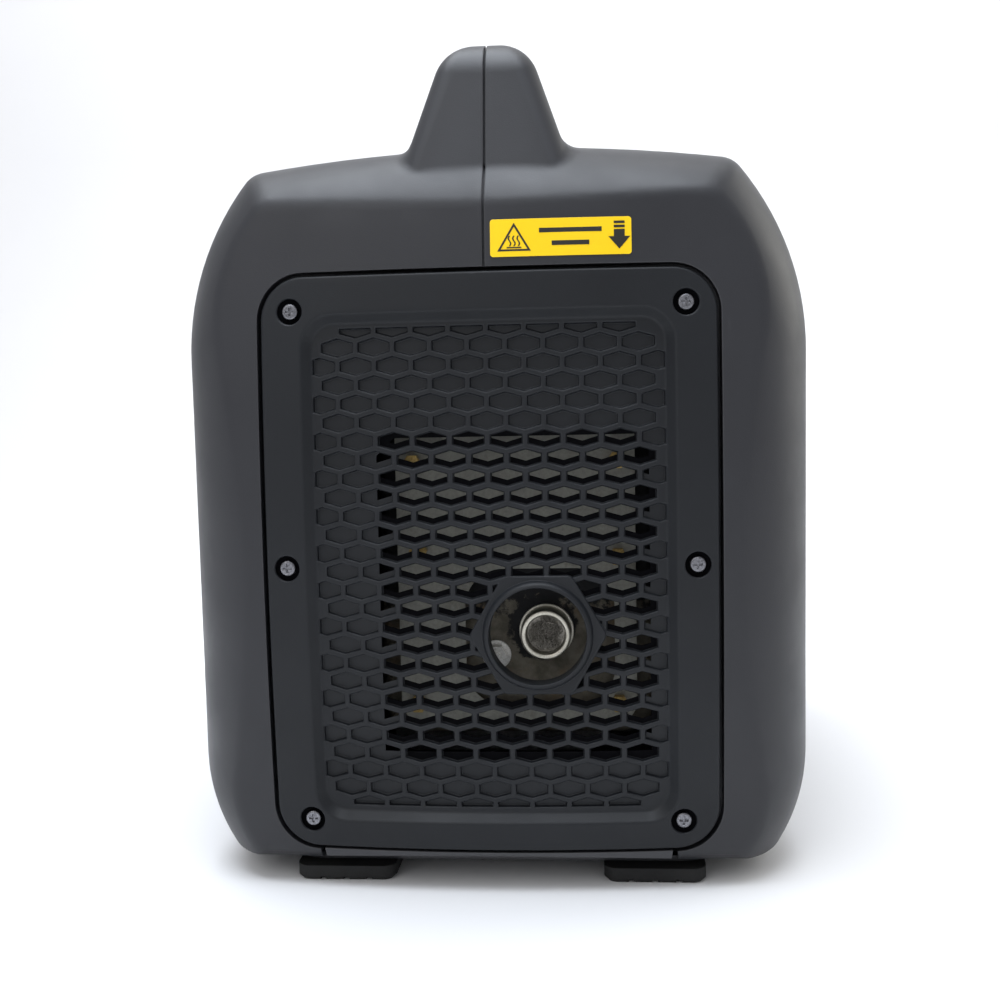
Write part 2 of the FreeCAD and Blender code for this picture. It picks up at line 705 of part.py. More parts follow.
def make_socket(x):
    """Receptacle body with two blade slots and a round earth hole."""
    face = panel_face() + 1.5
    bezel = rounded_block("Y", (x - socket_half - 4, x + socket_half + 4),
                          (socket_z - socket_half - 4, socket_z + socket_half + 4), (panel_face(), face), 7)
    body = rounded_block("Y", (x - socket_half, x + socket_half), (socket_z - socket_half, socket_z + socket_half),
                         (panel_face() - 26, face), 5)
    cuts = [box((x - 7.1, x - 4.9), (face - 16, face + 1), (socket_z - 1, socket_z + 8)),
            box((x + 4.9, x + 7.1), (face - 16, face + 1), (socket_z - 1, socket_z + 8)),
            rod("Y", (x, face - 16, socket_z - 8), 2.6, 20)]
    return without(join([bezel, body]), cuts)


def make_socket_cover(x):
    """Sprung flap hinged on two ears above the receptacle."""
    low, high = socket_z - socket_half - 3, socket_z + socket_half + 7
    face = panel_face() + 2.0
    flap = rounded_block("Y", (x - socket_half - 3, x + socket_half + 3), (low, high - 4), (face, face + 3), 4)
    barrel = rod("X", (x - 14, face + 2.0, high), 2.0, 28)
    neck = box((x - 13, x + 13), (face + 1.0, face + 3), (high - 8, high))
    lift = box((x - 6, x + 6), (face + 3, face + 6), (low + 1, low + 4))
    return join([flap, barrel, neck, lift]).cut(rod("X", (x - 20, face + 2.0, high), 1.05, 40))


def make_socket_hinges():
    """Ears and pins that carry the two flaps, one bracket to each."""
    brackets = []
    for x in socket_places:
        high = socket_z + socket_half + 7
        face = panel_face() + 2.0
        ears = [box((x + s - 1.5, x + s + 1.5), (panel_face(), face + 4), (high - 2.2, high + 2.2))
                for s in (-16.2, 16.2)]
        pin = rod("X", (x - 17.7, face + 2.0, high), 1.0, 35.4)
        back = box((x - 17.7, x + 17.7), (panel_face(), panel_face() + 0.8), (high + 2.4, high + 5))
        ties = [box((x + s - 1.5, x + s + 1.5), (panel_face(), panel_face() + 0.8), (high - 2.2, high + 5))
                for s in (-16.2, 16.2)]
        brackets.append(join(ears + [pin, back] + ties))
    return Part.makeCompound(brackets)


def make_engine_dial():
    face = panel_face()
    disc = rod("Y", (dial_x, face + 0.4, dial_z), dial_radius, 3.6)
    bar = rounded_block("Y", (dial_x - 6, dial_x + 6), (dial_z - dial_radius + 3, dial_z + dial_radius - 3),
                        (face + 1, half_length), 5.5)
    stem = rod("Y", (dial_x, face - 16, dial_z), dial_stem, 18)
    notches = [rod("Y", (dial_x + (dial_radius + 1.2) * math.cos(a), face,
                        dial_z + (dial_radius + 1.2) * math.sin(a)),
                   2.4, 5) for a in [math.radians(20 * i) for i in range(18)]]
    return join([disc.cut(Part.makeCompound(notches)), bar, stem])


def make_eco_switch():
    """Rocker: a shallow wedge on a pivot just behind the panel face."""
    face = panel_face()
    profile = [(face - 5, eco_z - 6), (face + 4.0, eco_z - 6.4), (face + 1.6, eco_z), (face + 1.6, eco_z + 6.4),
               (face - 5, eco_z + 6)]
    return prism("X", profile, (eco_x - 9.8, eco_x + 9.8))


def make_reset_button():
    """Breaker button in the panel's raised collar."""
    cap = rod("Y", (reset_x, panel_face() - 6, reset_z), reset_radius, 12)
    flange = rod("Y", (reset_x, panel_face() - 6, reset_z), reset_radius + 1.6, 1.5)
    cap = cap.makeChamfer(0.8, [e for e in cap.Edges if abs(e.CenterOfMass.y - panel_face() - 6) < 0.01])
    return join([cap, flange])


def make_lamps():
    lamps = []
    for x in lamp_places:
        lens = rod("Y", (x, panel_face() - 4, lamp_z), lamp_radius, 5.5)
        rim = [e for e in lens.Edges if abs(e.CenterOfMass.y - panel_face() - 1.5) < 0.01]
        lamps.append(lens.makeFillet(1.4, rim))
    return Part.makeCompound(lamps)


def make_dc_usb_outlet():
    """One insert with a round low-voltage socket and two charging ports."""
    face = panel_face()
    plate = rounded_block("Y", (dc_x - 20, usb_x + 16), (dc_z - 15, dc_z + 15), (face, face + 1.5), 4)
    body = rounded_block("Y", (dc_x - 17, usb_x + 13), (dc_z - 12, dc_z + 12), (face - 18, face + 1), 3)
    ports = [box((usb_x - 6.5, usb_x + 6.5), (face - 11, face + 5), (dc_z + s - 2.7, dc_z + s + 2.7))
             for s in (-6, 6)]
    return without(join([plate, body]), [rod("Y", (dc_x, face - 15, dc_z), 10.4, 30)] + ports)


def hexagon_block(axis, x, z, across, span):
    r = across / 2 / math.cos(math.pi / 6)
    corners = [(x + r * math.cos(math.radians(60 * i)), z + r * math.sin(math.radians(60 * i))) for i in range(6)]
    return prism(axis, corners, span)


def make_ground_terminal():
    face = panel_face()
    stud = rod("Y", (ground_x, face - 10, ground_z), terminal_radius, 22)
    washer = ring("Y", (ground_x, face, ground_z), 6.5, terminal_radius, 1.0)
    nut = hexagon_block("Y", ground_x, ground_z, 10, (face + 1.0, face + 5.5))
    return join([stud, washer, nut])


# ------------------------------------------------------------------ base
def make_base_tray():
    """Floor of the casing; a tongue closes the gap under each end cover."""
    long = half_length - 30.6
    plate = rounded_block("Z", (-tray_half_x, tray_half_x), (-long, long), (casing_bottom, floor_inside), 19.4)
    lip = rounded_block("Z", (-tray_half_x - 9, tray_half_x + 9), (-long - 3, long + 3),
                        (floor_inside, floor_inside + wall), 24).common(casing_solid(wall + 0.2))
    half = cover_half - 23.5
    corners = [(-half + 4, 0), (half - 4, 0), (half, cover_bottom - 1.4), (-half, cover_bottom - 1.4)]
    blank = prism("Y", corners, (-half_length - 10, -half_length + 31)).common(casing_solid(0.8))
    room = prism("Y", [(-half + 8, floor_inside + wall), (half - 8, floor_inside + wall), (half - 4, cover_bottom),
                       (-half + 4, cover_bottom)],
                 (-half_length - 10, -half_length + 31)).common(casing_solid(4.5))
    tongue = blank.cut(room).cut(box((-200, 200), (-half_length - 10, -half_length + 36), (0, casing_bottom)))
    bosses = [rod("Z", (x, y, floor_inside), 15, mount_foot - floor_inside) for x, y in mount_places()]
    ribs = [box((-tray_half_x + 6, tray_half_x - 6), (y - 1.5, y + 1.5), (floor_inside, floor_inside + 7))
            for y in (-150, 150)]
    holes = [rod("Z", (x, y, 0), screw_radius + running_gap, 30) for x, y in base_screw_places()]
    return without(join([plate, lip, tongue, mirrored(tongue, "Y")] + bosses + ribs), holes)


def foot_places():
    return [(sx * 80.0, sy * (half_length - 36.0)) for sx in (-1, 1) for sy in (-1, 1)]


def make_rubber_feet():
    """Four moulded blocks with a chamfered tread."""
    feet = []
    for x, y in foot_places():
        pad = rounded_block("Z", (x - 26, x + 26), (y - 16, y + 16), (0, casing_bottom), 7)
        pad = pad.makeChamfer(2.0, [e for e in pad.Edges if abs(e.BoundBox.ZMax) < 0.01])
        grooves = [box((x + s - 1.5, x + s + 1.5), (y - 20, y + 20), (-1, 2.0)) for s in (-12, 0, 12)]
        feet.append(without(pad, grooves))
    return Part.makeCompound(feet)


def mount_places():
    return [(x, y) for x in (crankcase_left + 18, crankcase_right - 18)
            for y in (crankcase_front + 16, crankcase_rear - 16)]


def make_engine_mounts():
    return Part.makeCompound([ring("Z", (x, y, mount_foot), 13, 3.2, crankcase_bottom - mount_foot)
                              for x, y in mount_places()])


# ------------------------------------------------------------------ side door and pull grip
def hinge_places():
    return [door_front + 30, door_rear - 30]


def make_service_door():
    """Flush door that tips out on two tabs at its lower edge."""
    skin = rounded_block("X", (door_front, door_rear), (door_bottom, door_top), (-half_width, -inside - 0.3), 14)
    ribs = [rounded_block("X", (door_front + 22, door_rear - 22), (z - 2, z + 2),
                          (-half_width, -half_width + 1.2), 1.9)
            for z in range(int(door_bottom) + 30, int(door_top) - 40, 12)]
    skin = without(skin, ribs + [rod("X", (-half_width - 1, latch_y, latch_z), latch_stem + 0.3, 10),
                                 rod("X", (-half_width - 1, latch_y, latch_z), latch_radius + 0.8, 2.4)])
    tabs = []
    for y in hinge_places():
        tabs.append(box((-inside - 0.5, -inside + wall + 2), (y - 7, y + 7), (door_bottom + 1, door_bottom + 3.5)))
        tabs.append(box((-inside + wall + 0.4, -inside + wall + 2), (y - 7, y + 7),
                        (door_bottom - 4, door_bottom + 3.5)))
    return join([skin] + tabs)


def make_door_latch():
    """Quarter-turn knob, flush in the door."""
    knob = rod("X", (-half_width, latch_y, latch_z), latch_radius, 1.3)
    slot = box((-half_width - 1, -half_width + 0.9), (latch_y - 7, latch_y + 7), (latch_z - 0.9, latch_z + 0.9))
    stem = rod("X", (-half_width + 1, latch_y, latch_z), latch_stem, 7)
    return join([knob.cut(slot), stem])


def make_recoil_grip():
    """Pull grip lying in the side pocket, knotted on the rope."""
    x0 = half_width - grip_depth - 1.5
    bar = rounded_block("X", (pulley_y - grip_length / 2, pulley_y + grip_length / 2),
                        (rope_z - grip_height / 2, rope_z + grip_height / 2), (x0 + 5, half_width - 1.0), 8)
    bar = bar.makeFillet(2.5, [e for e in bar.Edges if abs(e.BoundBox.XLength) < 0.01])
    neck = cone("X", (x0 + 0.5, pulley_y, rope_z), 5.5, 8.0, 5.5)
    return join([bar, neck]).cut(rod("X", (x0 - 1, pulley_y, rope_z), rope_radius + 0.3, 10))


# ------------------------------------------------------------------ engine
def make_crankcase():
    body = rounded_block("Y", (crankcase_left, crankcase_right), (crankcase_bottom, crankcase_top),
                         (crankcase_front, crankcase_rear), 14)
    room = rounded_block("Y", (crankcase_left + crankcase_wall, crankcase_right - crankcase_wall),
                         (crankcase_bottom + crankcase_wall, crankcase_top - crankcase_wall),
                         (crankcase_front + crankcase_wall + 3, crankcase_rear + 1), 10)
    cuts = [room, rod("Y", (0, crankcase_front - 1, crank_z), journal_radius + 3.05, 3),
            rod("Y", (0, crankcase_front + 1.5, crank_z), bearing_outer, 10),
            rod("Y", (cam_x, crankcase_front + 3, cam_z), 5.0 + running_gap, 10),
            rod("Z", (0, cylinder_y, crankcase_top - 10), bore_radius + 1.2, 20),
            rod("X", (crankcase_left - 1, dipstick_y, dipstick_z), 9.0, 10)]
    pads = [rod("Z", (x, y, crankcase_bottom), 14, 16) for x, y in mount_places()]
    pads = [pad.common(body) for pad in pads]
    return join([without(body, cuts)] + [pad.cut(clear_room()) for pad in pads])


def clear_room():
    """Space swept by the crank webs and the cam gear."""
    return join([rod("Y", (0, -200, crank_z), web_radius + 4, 300), rod("Y", (cam_x, -200, cam_z), 30, 300)])


def make_crankcase_cover():
    plate = rounded_block("Y", (crankcase_left, crankcase_right), (crankcase_bottom, crankcase_top),
                          (crankcase_rear, crankcase_rear + 7), 14)
    nose = rod("Y", (0, crankcase_rear + 7, crank_z), stator_bore, 14)
    cuts = [rod("Y", (0, crankcase_rear - 1, crank_z), bearing_outer, 8.5),
            rod("Y", (0, crankcase_rear - 1, crank_z), journal_radius + 3.05, 40),
            rod("Y", (cam_x, crankcase_rear - 1, cam_z), 5.0 + running_gap, 5)]
    return without(join([plate, nose]), cuts)


def make_bearings():
    """Two ball bearings, each as one closed ring."""
    front = ring("Y", (0, crankcase_front + 1.5, crank_z), bearing_outer, journal_radius + running_gap, 6.4)
    rear = ring("Y", (0, crankcase_rear, crank_z), bearing_outer, journal_radius + running_gap, 7.4)
    return Part.makeCompound([front, rear])


def make_crankshaft():
    pin_z = crank_z - stroke / 2
    front = cylinder_y - 10
    rear = cylinder_y + 10
    webs = [rod("Y", (0, front - 8, crank_z), web_radius, 8), rod("Y", (0, rear, crank_z), web_radius, 8)]
    cheeks = [box((-50, -13), (front - 9, rear + 9), (crank_z - 2, crank_z + 40)),
              box((13, 50), (front - 9, rear + 9), (crank_z - 2, crank_z + 40))]
    webs = [without(web, cheeks) for web in webs]
    pin = rod("Y", (0, front - 2, pin_z), 8.0, rear - front + 4)
    front_journal = rod("Y", (0, crankcase_front + 1.8, crank_z), journal_radius,
                        front - 7 - crankcase_front - 1.8)
    rear_journal = rod("Y", (0, rear + 7, crank_z), journal_radius, crankcase_rear + 21.5 - rear - 7)
    nose = rod("Y", (0, crankcase_rear + 21, crank_z), journal_radius - 1.0,
               starter_cup_rear - crankcase_rear - 21)
    turn = math.atan2(cam_z - crank_z, cam_x)
    gear = toothed_wheel(0, gear_y, crank_z, crank_teeth, turn, gear_width)
    return join(webs + [pin, front_journal, rear_journal, nose, gear])


def toothed_wheel(x, y, z, teeth, turn, width):
    """Spur wheel with straight-sided teeth and generous backlash."""
    pitch_radius = gear_module * teeth / 2
    root, tip = pitch_radius - 1.25 * gear_module, pitch_radius + 0.8 * gear_module
    step = 2 * math.pi / teeth
    points = []
    for i in range(teeth):
        middle = i * step + turn
        for radius, share in ((root, -0.33), (pitch_radius, -0.21), (tip, -0.10),
                              (tip, 0.10), (pitch_radius, 0.21),
                              (root, 0.33)):
            angle = middle + share * step
            points.append((x + radius * math.cos(angle), z + radius * math.sin(angle)))
    return prism("Y", points, (y, y + width))


def make_camshaft():
    towards_crank = math.atan2(crank_z - cam_z, -cam_x)
    turn = towards_crank + math.pi / cam_teeth
    wheel = toothed_wheel(cam_x, gear_y, cam_z, cam_teeth, turn, gear_width)
    shaft = rod("Y", (cam_x, crankcase_front + 4, cam_z), 5.0, crankcase_rear + 3.5 - crankcase_front - 4)
    lobes = []
    for y, angle in ((crankcase_front + 10, 0.6), (crankcase_front + 20, 2.3)):
        nose_x, nose_z = cam_x + 4.0 * math.cos(angle), cam_z + 4.0 * math.sin(angle)
        lobes += [rod("Y", (cam_x, y, cam_z), 6.2, 5), rod("Y", (nose_x, y, nose_z), 4.2, 5)]
    return join([wheel, shaft] + lobes)


def make_cylinder():
    sleeve = rod("Z", (0, cylinder_y, crankcase_top), bore_radius + 6, head_z - crankcase_top)
    fins = [rounded_block("Z", (-42, 42), (cylinder_y - 40, cylinder_y + 40), (z, z + 2.2), 12)
            for z in [crankcase_top + 12 + 8 * i for i in range(7)] if z + 2.2 < head_z]
    base = rounded_block("Z", (-38, 38), (cylinder_y - 36, cylinder_y + 36), (crankcase_top, crankcase_top + 6), 8)
    return join([sleeve, base] + fins).cut(rod("Z", (0, cylinder_y, crankcase_top - 5), bore_radius, 120))


def make_piston():
    """Piston at the bottom of its stroke, with ring grooves and the pin's hole."""
    crown_z = rest_pin_z + 18
    body = rod("Z", (0, cylinder_y, rest_pin_z - 16), bore_radius - running_gap, 34)
    hollow = rod("Z", (0, cylinder_y, rest_pin_z - 17), bore_radius - 4, 29)
    bosses = join([rod("Y", (0, y, rest_pin_z), 9, 9) for y in (cylinder_y - 20, cylinder_y + 11)])
    grooves = [ring("Z", (0, cylinder_y, crown_z - z), bore_radius + 2, bore_radius - 2.2, 1.6)
               for z in (5.5, 9.5, 14)]
    body = join([body.cut(hollow), bosses.common(rod("Z", (0, cylinder_y, rest_pin_z - 16), bore_radius - 1, 32))])
    return without(body, grooves + [rod("Y", (0, cylinder_y - 40, rest_pin_z), 6.0, 80)])


def make_piston_pin():
    return ring("Y", (0, cylinder_y - 19, rest_pin_z), 6.0, 3.8, 38)


def make_cylinder_head():
    body = rounded_block("Z", (-40, 40), (cylinder_y - 38, cylinder_y + 38), (head_z, head_z + 25), 10)
    slots = [box((s * 28, s * 60) if s > 0 else (-60, -28), (cylinder_y - 60, cylinder_y + 60), (z, z + 3.5))
             for s in (-1, 1) for z in (head_z + 5, head_z + 12)]
    ports = [rod("X", (-41, cylinder_y, port_z), 8, 30), rod("Y", (0, cylinder_y - 39, port_z), 8, 25),
             rod("X", (14, cylinder_y, port_z), 5.0, 27)]
    dome = rod("Z", (0, cylinder_y, head_z - 1), bore_radius - 3, 7)
    return without(body, slots + ports + [dome])


def make_valve_cover():
    body = rounded_block("Z", (-34, 34), (cylinder_y - 32, cylinder_y + 32), (head_z + 25, head_z + 41), 10)
    body = body.makeFillet(3.0, [e for e in body.Edges if abs(e.BoundBox.ZMin - head_z - 41) < 0.01])
    return body.cut(rounded_block("Z", (-31, 31), (cylinder_y - 29, cylinder_y + 29),
                                  (head_z + 24, head_z + 38), 8))


def make_spark_plug():
    z = port_z
    shell = rod("X", (22, cylinder_y, z), 4.9, 18)
    hexagon = hexagon_block("X", cylinder_y, z, 14, (40, 48))
    insulator = cone("X", (48, cylinder_y, z), 5.0, 3.6, 16)
    return join([shell, hexagon, insulator])


def make_spark_plug_lead():
    """Boot, elbow and lead moulded in one."""
    z = port_z
    lead = rod("Z", (68, cylinder_y, crank_z + 56), 3.2, z - 22 - crank_z - 56)
    body = rounded_block("X", (cylinder_y - 9, cylinder_y + 9), (z - 9, z + 9), (52, 74), 6)
    elbow = rod("Z", (68, cylinder_y, z - 24), 5.0, 20)
    socket = cone("X", (51, cylinder_y, z), 5.1, 3.7, 15.0)
    return join([body, elbow, lead]).cut(join([socket, rod("X", (48, cylinder_y, z), 5.2, 6)]))


def make_ignition_coil():
    return join([rounded_block("X", (cylinder_y - 14, cylinder_y + 16), (crank_z + 8, crank_z + 40),
                               (crankcase_right, crankcase_right + 24), 4),
                 rod("Z", (crankcase_right + 12, cylinder_y, crank_z + 38), 5, 18)])


def make_carburettor():
    body = rounded_block("X", (cylinder_y - 18, cylinder_y + 18), (port_z - 18, port_z + 16), (-88, -52), 6)
    bowl = rod("Z", (-70, cylinder_y, port_z - 34), 15, 17)
    insulator = rounded_block("X", (cylinder_y - 22, cylinder_y + 22), (port_z - 12, port_z + 12), (-52, -40), 5)
    throat = rod("X", (-95, cylinder_y, port_z), 9, 60)
    return join([body, bowl, insulator]).cut(throat)


def make_air_box():
    y0, y1, z0, z1 = cylinder_y - 36, cylinder_y + 40, port_z - 42, port_z + 24
    body = rounded_block("X", (y0, y1), (z0, z1), (-124, -88), 8)
    room = rounded_block("X", (y0 + 3, y1 - 3), (z0 + 3, z1 - 3), (-130, -91), 6)
    return without(body, [room, rod("X", (-100, cylinder_y, port_z), 9, 20)])


def make_air_filter():
    y0, y1, z0, z1 = cylinder_y - 32.7, cylinder_y + 36.7, port_z - 38.7, port_z + 20.7
    return rounded_block("X", (y0, y1), (z0, z1), (-121, -107), 5)


def make_air_box_cover():
    y0, y1, z0, z1 = cylinder_y - 38, cylinder_y + 42, port_z - 44, port_z + 26
    cover = rounded_block("X", (y0, y1), (z0, z1), (-140, -124), 9)
    room = rounded_block("X", (y0 + 5, y1 - 5), (z0 + 5, z1 - 5), (-137, -123), 6)
    bars = [box((-143, -139), (y - 1.5, y + 1.5), (z0 + 14, z1 - 14))
            for y in range(int(y0) + 14, int(y1) - 10, 9)]
    return without(cover, [room] + bars)


def make_dipstick():
    cap = rod("X", (crankcase_left - 10, dipstick_y, dipstick_z), 13, 10)
    wings = box((crankcase_left - 18, crankcase_left - 9), (dipstick_y - 11, dipstick_y + 11),
                (dipstick_z - 2.5, dipstick_z + 2.5))
    plug = rod("X", (crankcase_left - 1, dipstick_y, dipstick_z), 8.9, 7)
    blade = rod("X", (crankcase_left + 4, dipstick_y, dipstick_z), 2.2, 16)
    return join([cap, wings, plug, blade])


# ------------------------------------------------------------------ alternator, fan, recoil starter
def make_stator():
    core = ring("Y", (0, crankcase_rear + 7, crank_z), 52, stator_bore, 36)
    slots = [rod("Y", (44 * math.cos(a), crankcase_rear + 6, crank_z + 44 * math.sin(a)), 3.2, 38)
             for a in [math.radians(20 * i) for i in range(18)]]
    return without(core, slots)


def make_rotor():
    cup = ring("Y", (0, crankcase_rear + 9, crank_z), rotor_radius, 53.5, 44)
    end = rod("Y", (0, crankcase_rear + 47, crank_z), rotor_radius, 6)
    hub = rod("Y", (0, crankcase_rear + 45, crank_z), 16, 8)
    return join([cup, end, hub]).cut(rod("Y", (0, crankcase_rear, crank_z), journal_radius - 1.0, 80))


def make_fan():
    y = crankcase_rear + 53
    disc = rod("Y", (0, y, crank_z), 68, 2.5)
    blades = []
    for i in range(12):
        blade = box((34, 67), (y + 2, y + 18), (crank_z - 1.2, crank_z + 1.2))
        blade.rotate(Vector(34, 0, crank_z), Vector(0, 1, 0), 28)
        blade.rotate(Vector(0, 0, crank_z), Vector(0, 1, 0), 30 * i)
        blades.append(blade)
    hub = rod("Y", (0, y, crank_z), 24, 5)
    return join([disc, hub] + blades).cut(rod("Y", (0, y - 1, crank_z), journal_radius - 1.0, 30))


def make_starter_cup():
    y = crankcase_rear + 58
    cup = rod("Y", (0, y, crank_z), 31, 15).cut(rod("Y", (0, y + 2.5, crank_z), 28.5, 20))
    windows = [box((20, 40), (y + 6, y + 11), (crank_z - 5, crank_z + 5)) for _ in range(6)]
    for i, window in enumerate(windows):
        window.rotate(Vector(0, 0, crank_z), Vector(0, 1, 0), 60 * i)
    nut = hexagon_block("Y", 0, crank_z, 20, (y + 2, starter_cup_rear))
    return join([without(cup, windows), nut]).cut(rod("Y", (0, y - 1, crank_z), journal_radius - 1.0, 30))


def make_fan_shroud():
    """Air duct round the alternator, open at the engine end and at the fan's eye."""
    y0, y1 = crankcase_rear + 7, shroud_rear
    shell = ring("Y", (0, y0, crank_z), shroud_radius, shroud_radius - 2.5, y1 - y0)
    end = ring("Y", (0, y1 - 2.5, crank_z), shroud_radius, 58, 2.5)
    duct = box((-34, 34), (y0, y0 + 60), (crank_z + 60, crank_z + shroud_radius + 8)).cut(
        join([rod("Y", (0, y0 - 1, crank_z), shroud_radius - 2.5, 200),
              box((-31.5, 31.5), (y0 - 1, y0 + 57.5), (crank_z, crank_z + shroud_radius + 5.5))]))
    return join([shell.cut(box((-31.5, 31.5), (y0 - 1, y0 + 57.5), (crank_z + 40, crank_z + 200))), end, duct])


def make_recoil_housing():
    """Cover with the centre post that the pulley turns on, and the rope's way out."""
    y0, y1 = shroud_rear, shroud_rear + 30
    drum = ring("Y", (0, y0, crank_z), 62, 59.5, y1 - y0)
    face = rod("Y", (0, y1 - 2.5, crank_z), 62, 2.5)
    rim = ring("Y", (0, y0, crank_z), 72, 60, 2.5)
    post = rod("Y", (0, pulley_y - 9, crank_z), 7.5 - running_gap, y1 - pulley_y + 8)
    vents = []
    for i in range(10):
        slot = rounded_block("Y", (24, 50), (-3, 3), (y1 - 5, y1 + 5), 2.9)
        slot.translate(Vector(0, 0, crank_z))
        slot.rotate(Vector(0, 0, crank_z), Vector(0, 1, 0), 36 * i)
        vents.append(slot)
    way_out = box((20, 80), (pulley_y - 4.5, pulley_y + 4.5), (rope_z - 4.5, rope_z + 4.5))
    return without(join([drum, face, rim, post]), vents + [way_out])


def make_recoil_pulley():
    y = pulley_y
    disc = rod("Y", (0, y - 6, crank_z), pulley_radius + 5, 12)
    groove = ring("Y", (0, y - 3, crank_z), pulley_radius + 10, pulley_radius - rope_radius - 0.4, 6)
    well = rod("Y", (0, y + 2, crank_z), 36, 10)
    bore = rod("Y", (0, y - 20, crank_z), 7.5, 40)
    hub = rod("Y", (0, y - 8.5, crank_z), 12, 14)
    return without(join([without(disc, [well]), hub]), [groove, bore])


def make_recoil_rope_coil():
    """The turns of rope that fill the pulley's groove, as one closed ring."""
    return ring("Y", (0, pulley_y - 2.4, crank_z), pulley_radius + rope_radius, pulley_radius - rope_radius, 4.8)


def make_recoil_rope_run():
    """The straight run from the pulley, through the eye, to the grip's knot."""
    outer, lowest = pulley_radius + rope_radius, pulley_radius - rope_radius - 0.3
    start = math.sqrt(outer ** 2 - lowest ** 2)
    return rod("X", (start, pulley_y, rope_z), rope_radius, half_width - grip_depth + 4 - start)


def make_recoil_spring():
    """Flat spiral spring beside the pulley."""
    inner, pitch, turns, thick = 12.5, 3.0, 7, 0.9
    y = pulley_y + 3.0
    strips = []
    for i in range(turns * 2):
        radius = inner + pitch * i / 2
        side = 1 if i % 2 == 0 else -1
        centre = 0.0 if side > 0 else -pitch / 2
        band = ring("Y", (centre, y, crank_z), radius + thick / 2, radius - thick / 2, 7)
        strips.append(band.common(box((-80, 80), (y - 1, y + 9), (crank_z, crank_z + 90) if side > 0
                                      else (crank_z - 90, crank_z))))
    return join(strips)


# ------------------------------------------------------------------ exhaust
def make_muffler():
    back, front = muffler_back, muffler_front
    body = rounded_block("Y", (window_left - 4, window_right + 4), (window_bottom + 6, window_top + 6),
                         (front, back), 18)
    body = body.makeFillet(6.0, [e for e in body.Edges if abs(e.BoundBox.YLength) < 0.01])
    inlet = rounded_block("Y", (-20, 20), (port_z - 16, port_z + 12), (back - 10, cylinder_y - 38), 6)
    inlet = inlet.cut(rod("Y", (0, back - 20, port_z), 8, 200))
    bracket = box((-44, -20), (back - 1, crankcase_front), (110, 114))
    outlet = rod("Y", (tip_x, front - 1, tip_z), tip_radius - tip_wall, 12)
    room = rounded_block("Y", (window_left - 1.5, window_right + 1.5), (window_bottom + 8.5, window_top + 3.5),
                         (front + 2.5, back - 2.5), 15.5)
    shell = without(body, [room, outlet])
    return join([shell, inlet, bracket])


def make_exhaust_tip():
    """Short pipe on the muffler's outlet, flanged where it meets the wall."""
    length = muffler_front - tip_end
    pipe = rod("Y", (tip_x, tip_end, tip_z), tip_radius, length)
    flange = rod("Y", (tip_x, muffler_front - 2, tip_z), tip_radius + 1.2, 2)
    tip = join([pipe, flange]).cut(rod("Y", (tip_x, tip_end - 1, tip_z), tip_radius - tip_wall, length + 2))
    return tip.makeFillet(tip_wall * 0.4, [e for e in tip.Edges if abs(e.CenterOfMass.y - tip_end) < 0.01])


def make_spark_arrestor():
    """Mesh plug inside the tip."""
    return rod("Y", (tip_x, tip_end + 3.5, tip_z), tip_radius - tip_wall - 0.1, 9)


def make_muffler_shield():
    """Sheet-steel guard in front of the muffler, cut away round the tip."""
    sheet = rounded_block("Y", (window_left + 7, window_right - 7), (window_bottom + 13, window_top + 10),
                          (muffler_front - 6.5, muffler_front - 5.5), 12)
    notch = rounded_block("Y", (boss_x - 38, boss_x + 38), (window_bottom + 22, boss_z + 30),
                          (muffler_front - 10, muffler_front), 20)
    feet = [rod("Y", (x, muffler_front - 5.5, z), 5, 5.5) for x, z in shield_bolts()]
    holes = [rod("Y", (x, muffler_front - 20, z), 2.6, 40) for x, z in shield_bolts()]
    return without(join([sheet.cut(notch)] + feet), holes)


def shield_bolts():
    left, right = window_left + 16, window_right - 16
    return [(left, window_top - 14), (right, window_top - 14), (left + 2, boss_z + 40), (right, boss_z + 36),
            (left, window_bottom + 24), (right, window_bottom + 24)]


def make_muffler_bolts():
    bolts = []
    for x, z in shield_bolts():
        head = hexagon_block("Y", x, z, 8, (muffler_front - 11, muffler_front - 6.5))
        bolts.append(join([head, rod("Y", (x, muffler_front - 7, z), 2.5, 7)]))
    nut_x, nut_z = tip_x - 26, tip_z - 12.5
    bolts.append(join([hexagon_block("Y", nut_x, nut_z, 10, (muffler_front - 6, muffler_front - 1)),
                       rod("Y", (nut_x, muffler_front - 1, nut_z), 7.5, 1),
                       rod("Y", (nut_x, muffler_front - 9, nut_z), 2.5, 4)]))
    return Part.makeCompound(bolts)


# ------------------------------------------------------------------ fuel
def make_fuel_tank():
    top, low = tank_top, tank_bottom
    x, y = tank_half_x, tank_half_y
    body = rounded_block("Z", (-x, x), (-y, y), (low, top), 24)
    body = body.makeFillet(8.0, [e for e in body.Edges if abs(e.BoundBox.ZLength) < 0.01])
    seam = rounded_block("Z", (-x - 8, x + 8), (-y - 8, y + 8), (tank_seam, tank_seam + 3), 30)
    neck = rod("Z", (0, cap_y, top - 4), neck_radius, well_floor + 3 - top + 4)
    spout = rod("Z", (-60, 30, low - 12), 4.0, 14)
    room = rounded_block("Z", (-x + 2.5, x - 2.5), (-y + 2.5, y - 2.5), (low + 2.5, top - 2.5), 21.5)
    cuts = [room, rod("Z", (0, cap_y, top - 6), neck_radius - 2.5, 60), rod("Z", (-60, 30, low - 14), 2.4, 20)]
    return without(join([body, seam, neck, spout]), cuts)


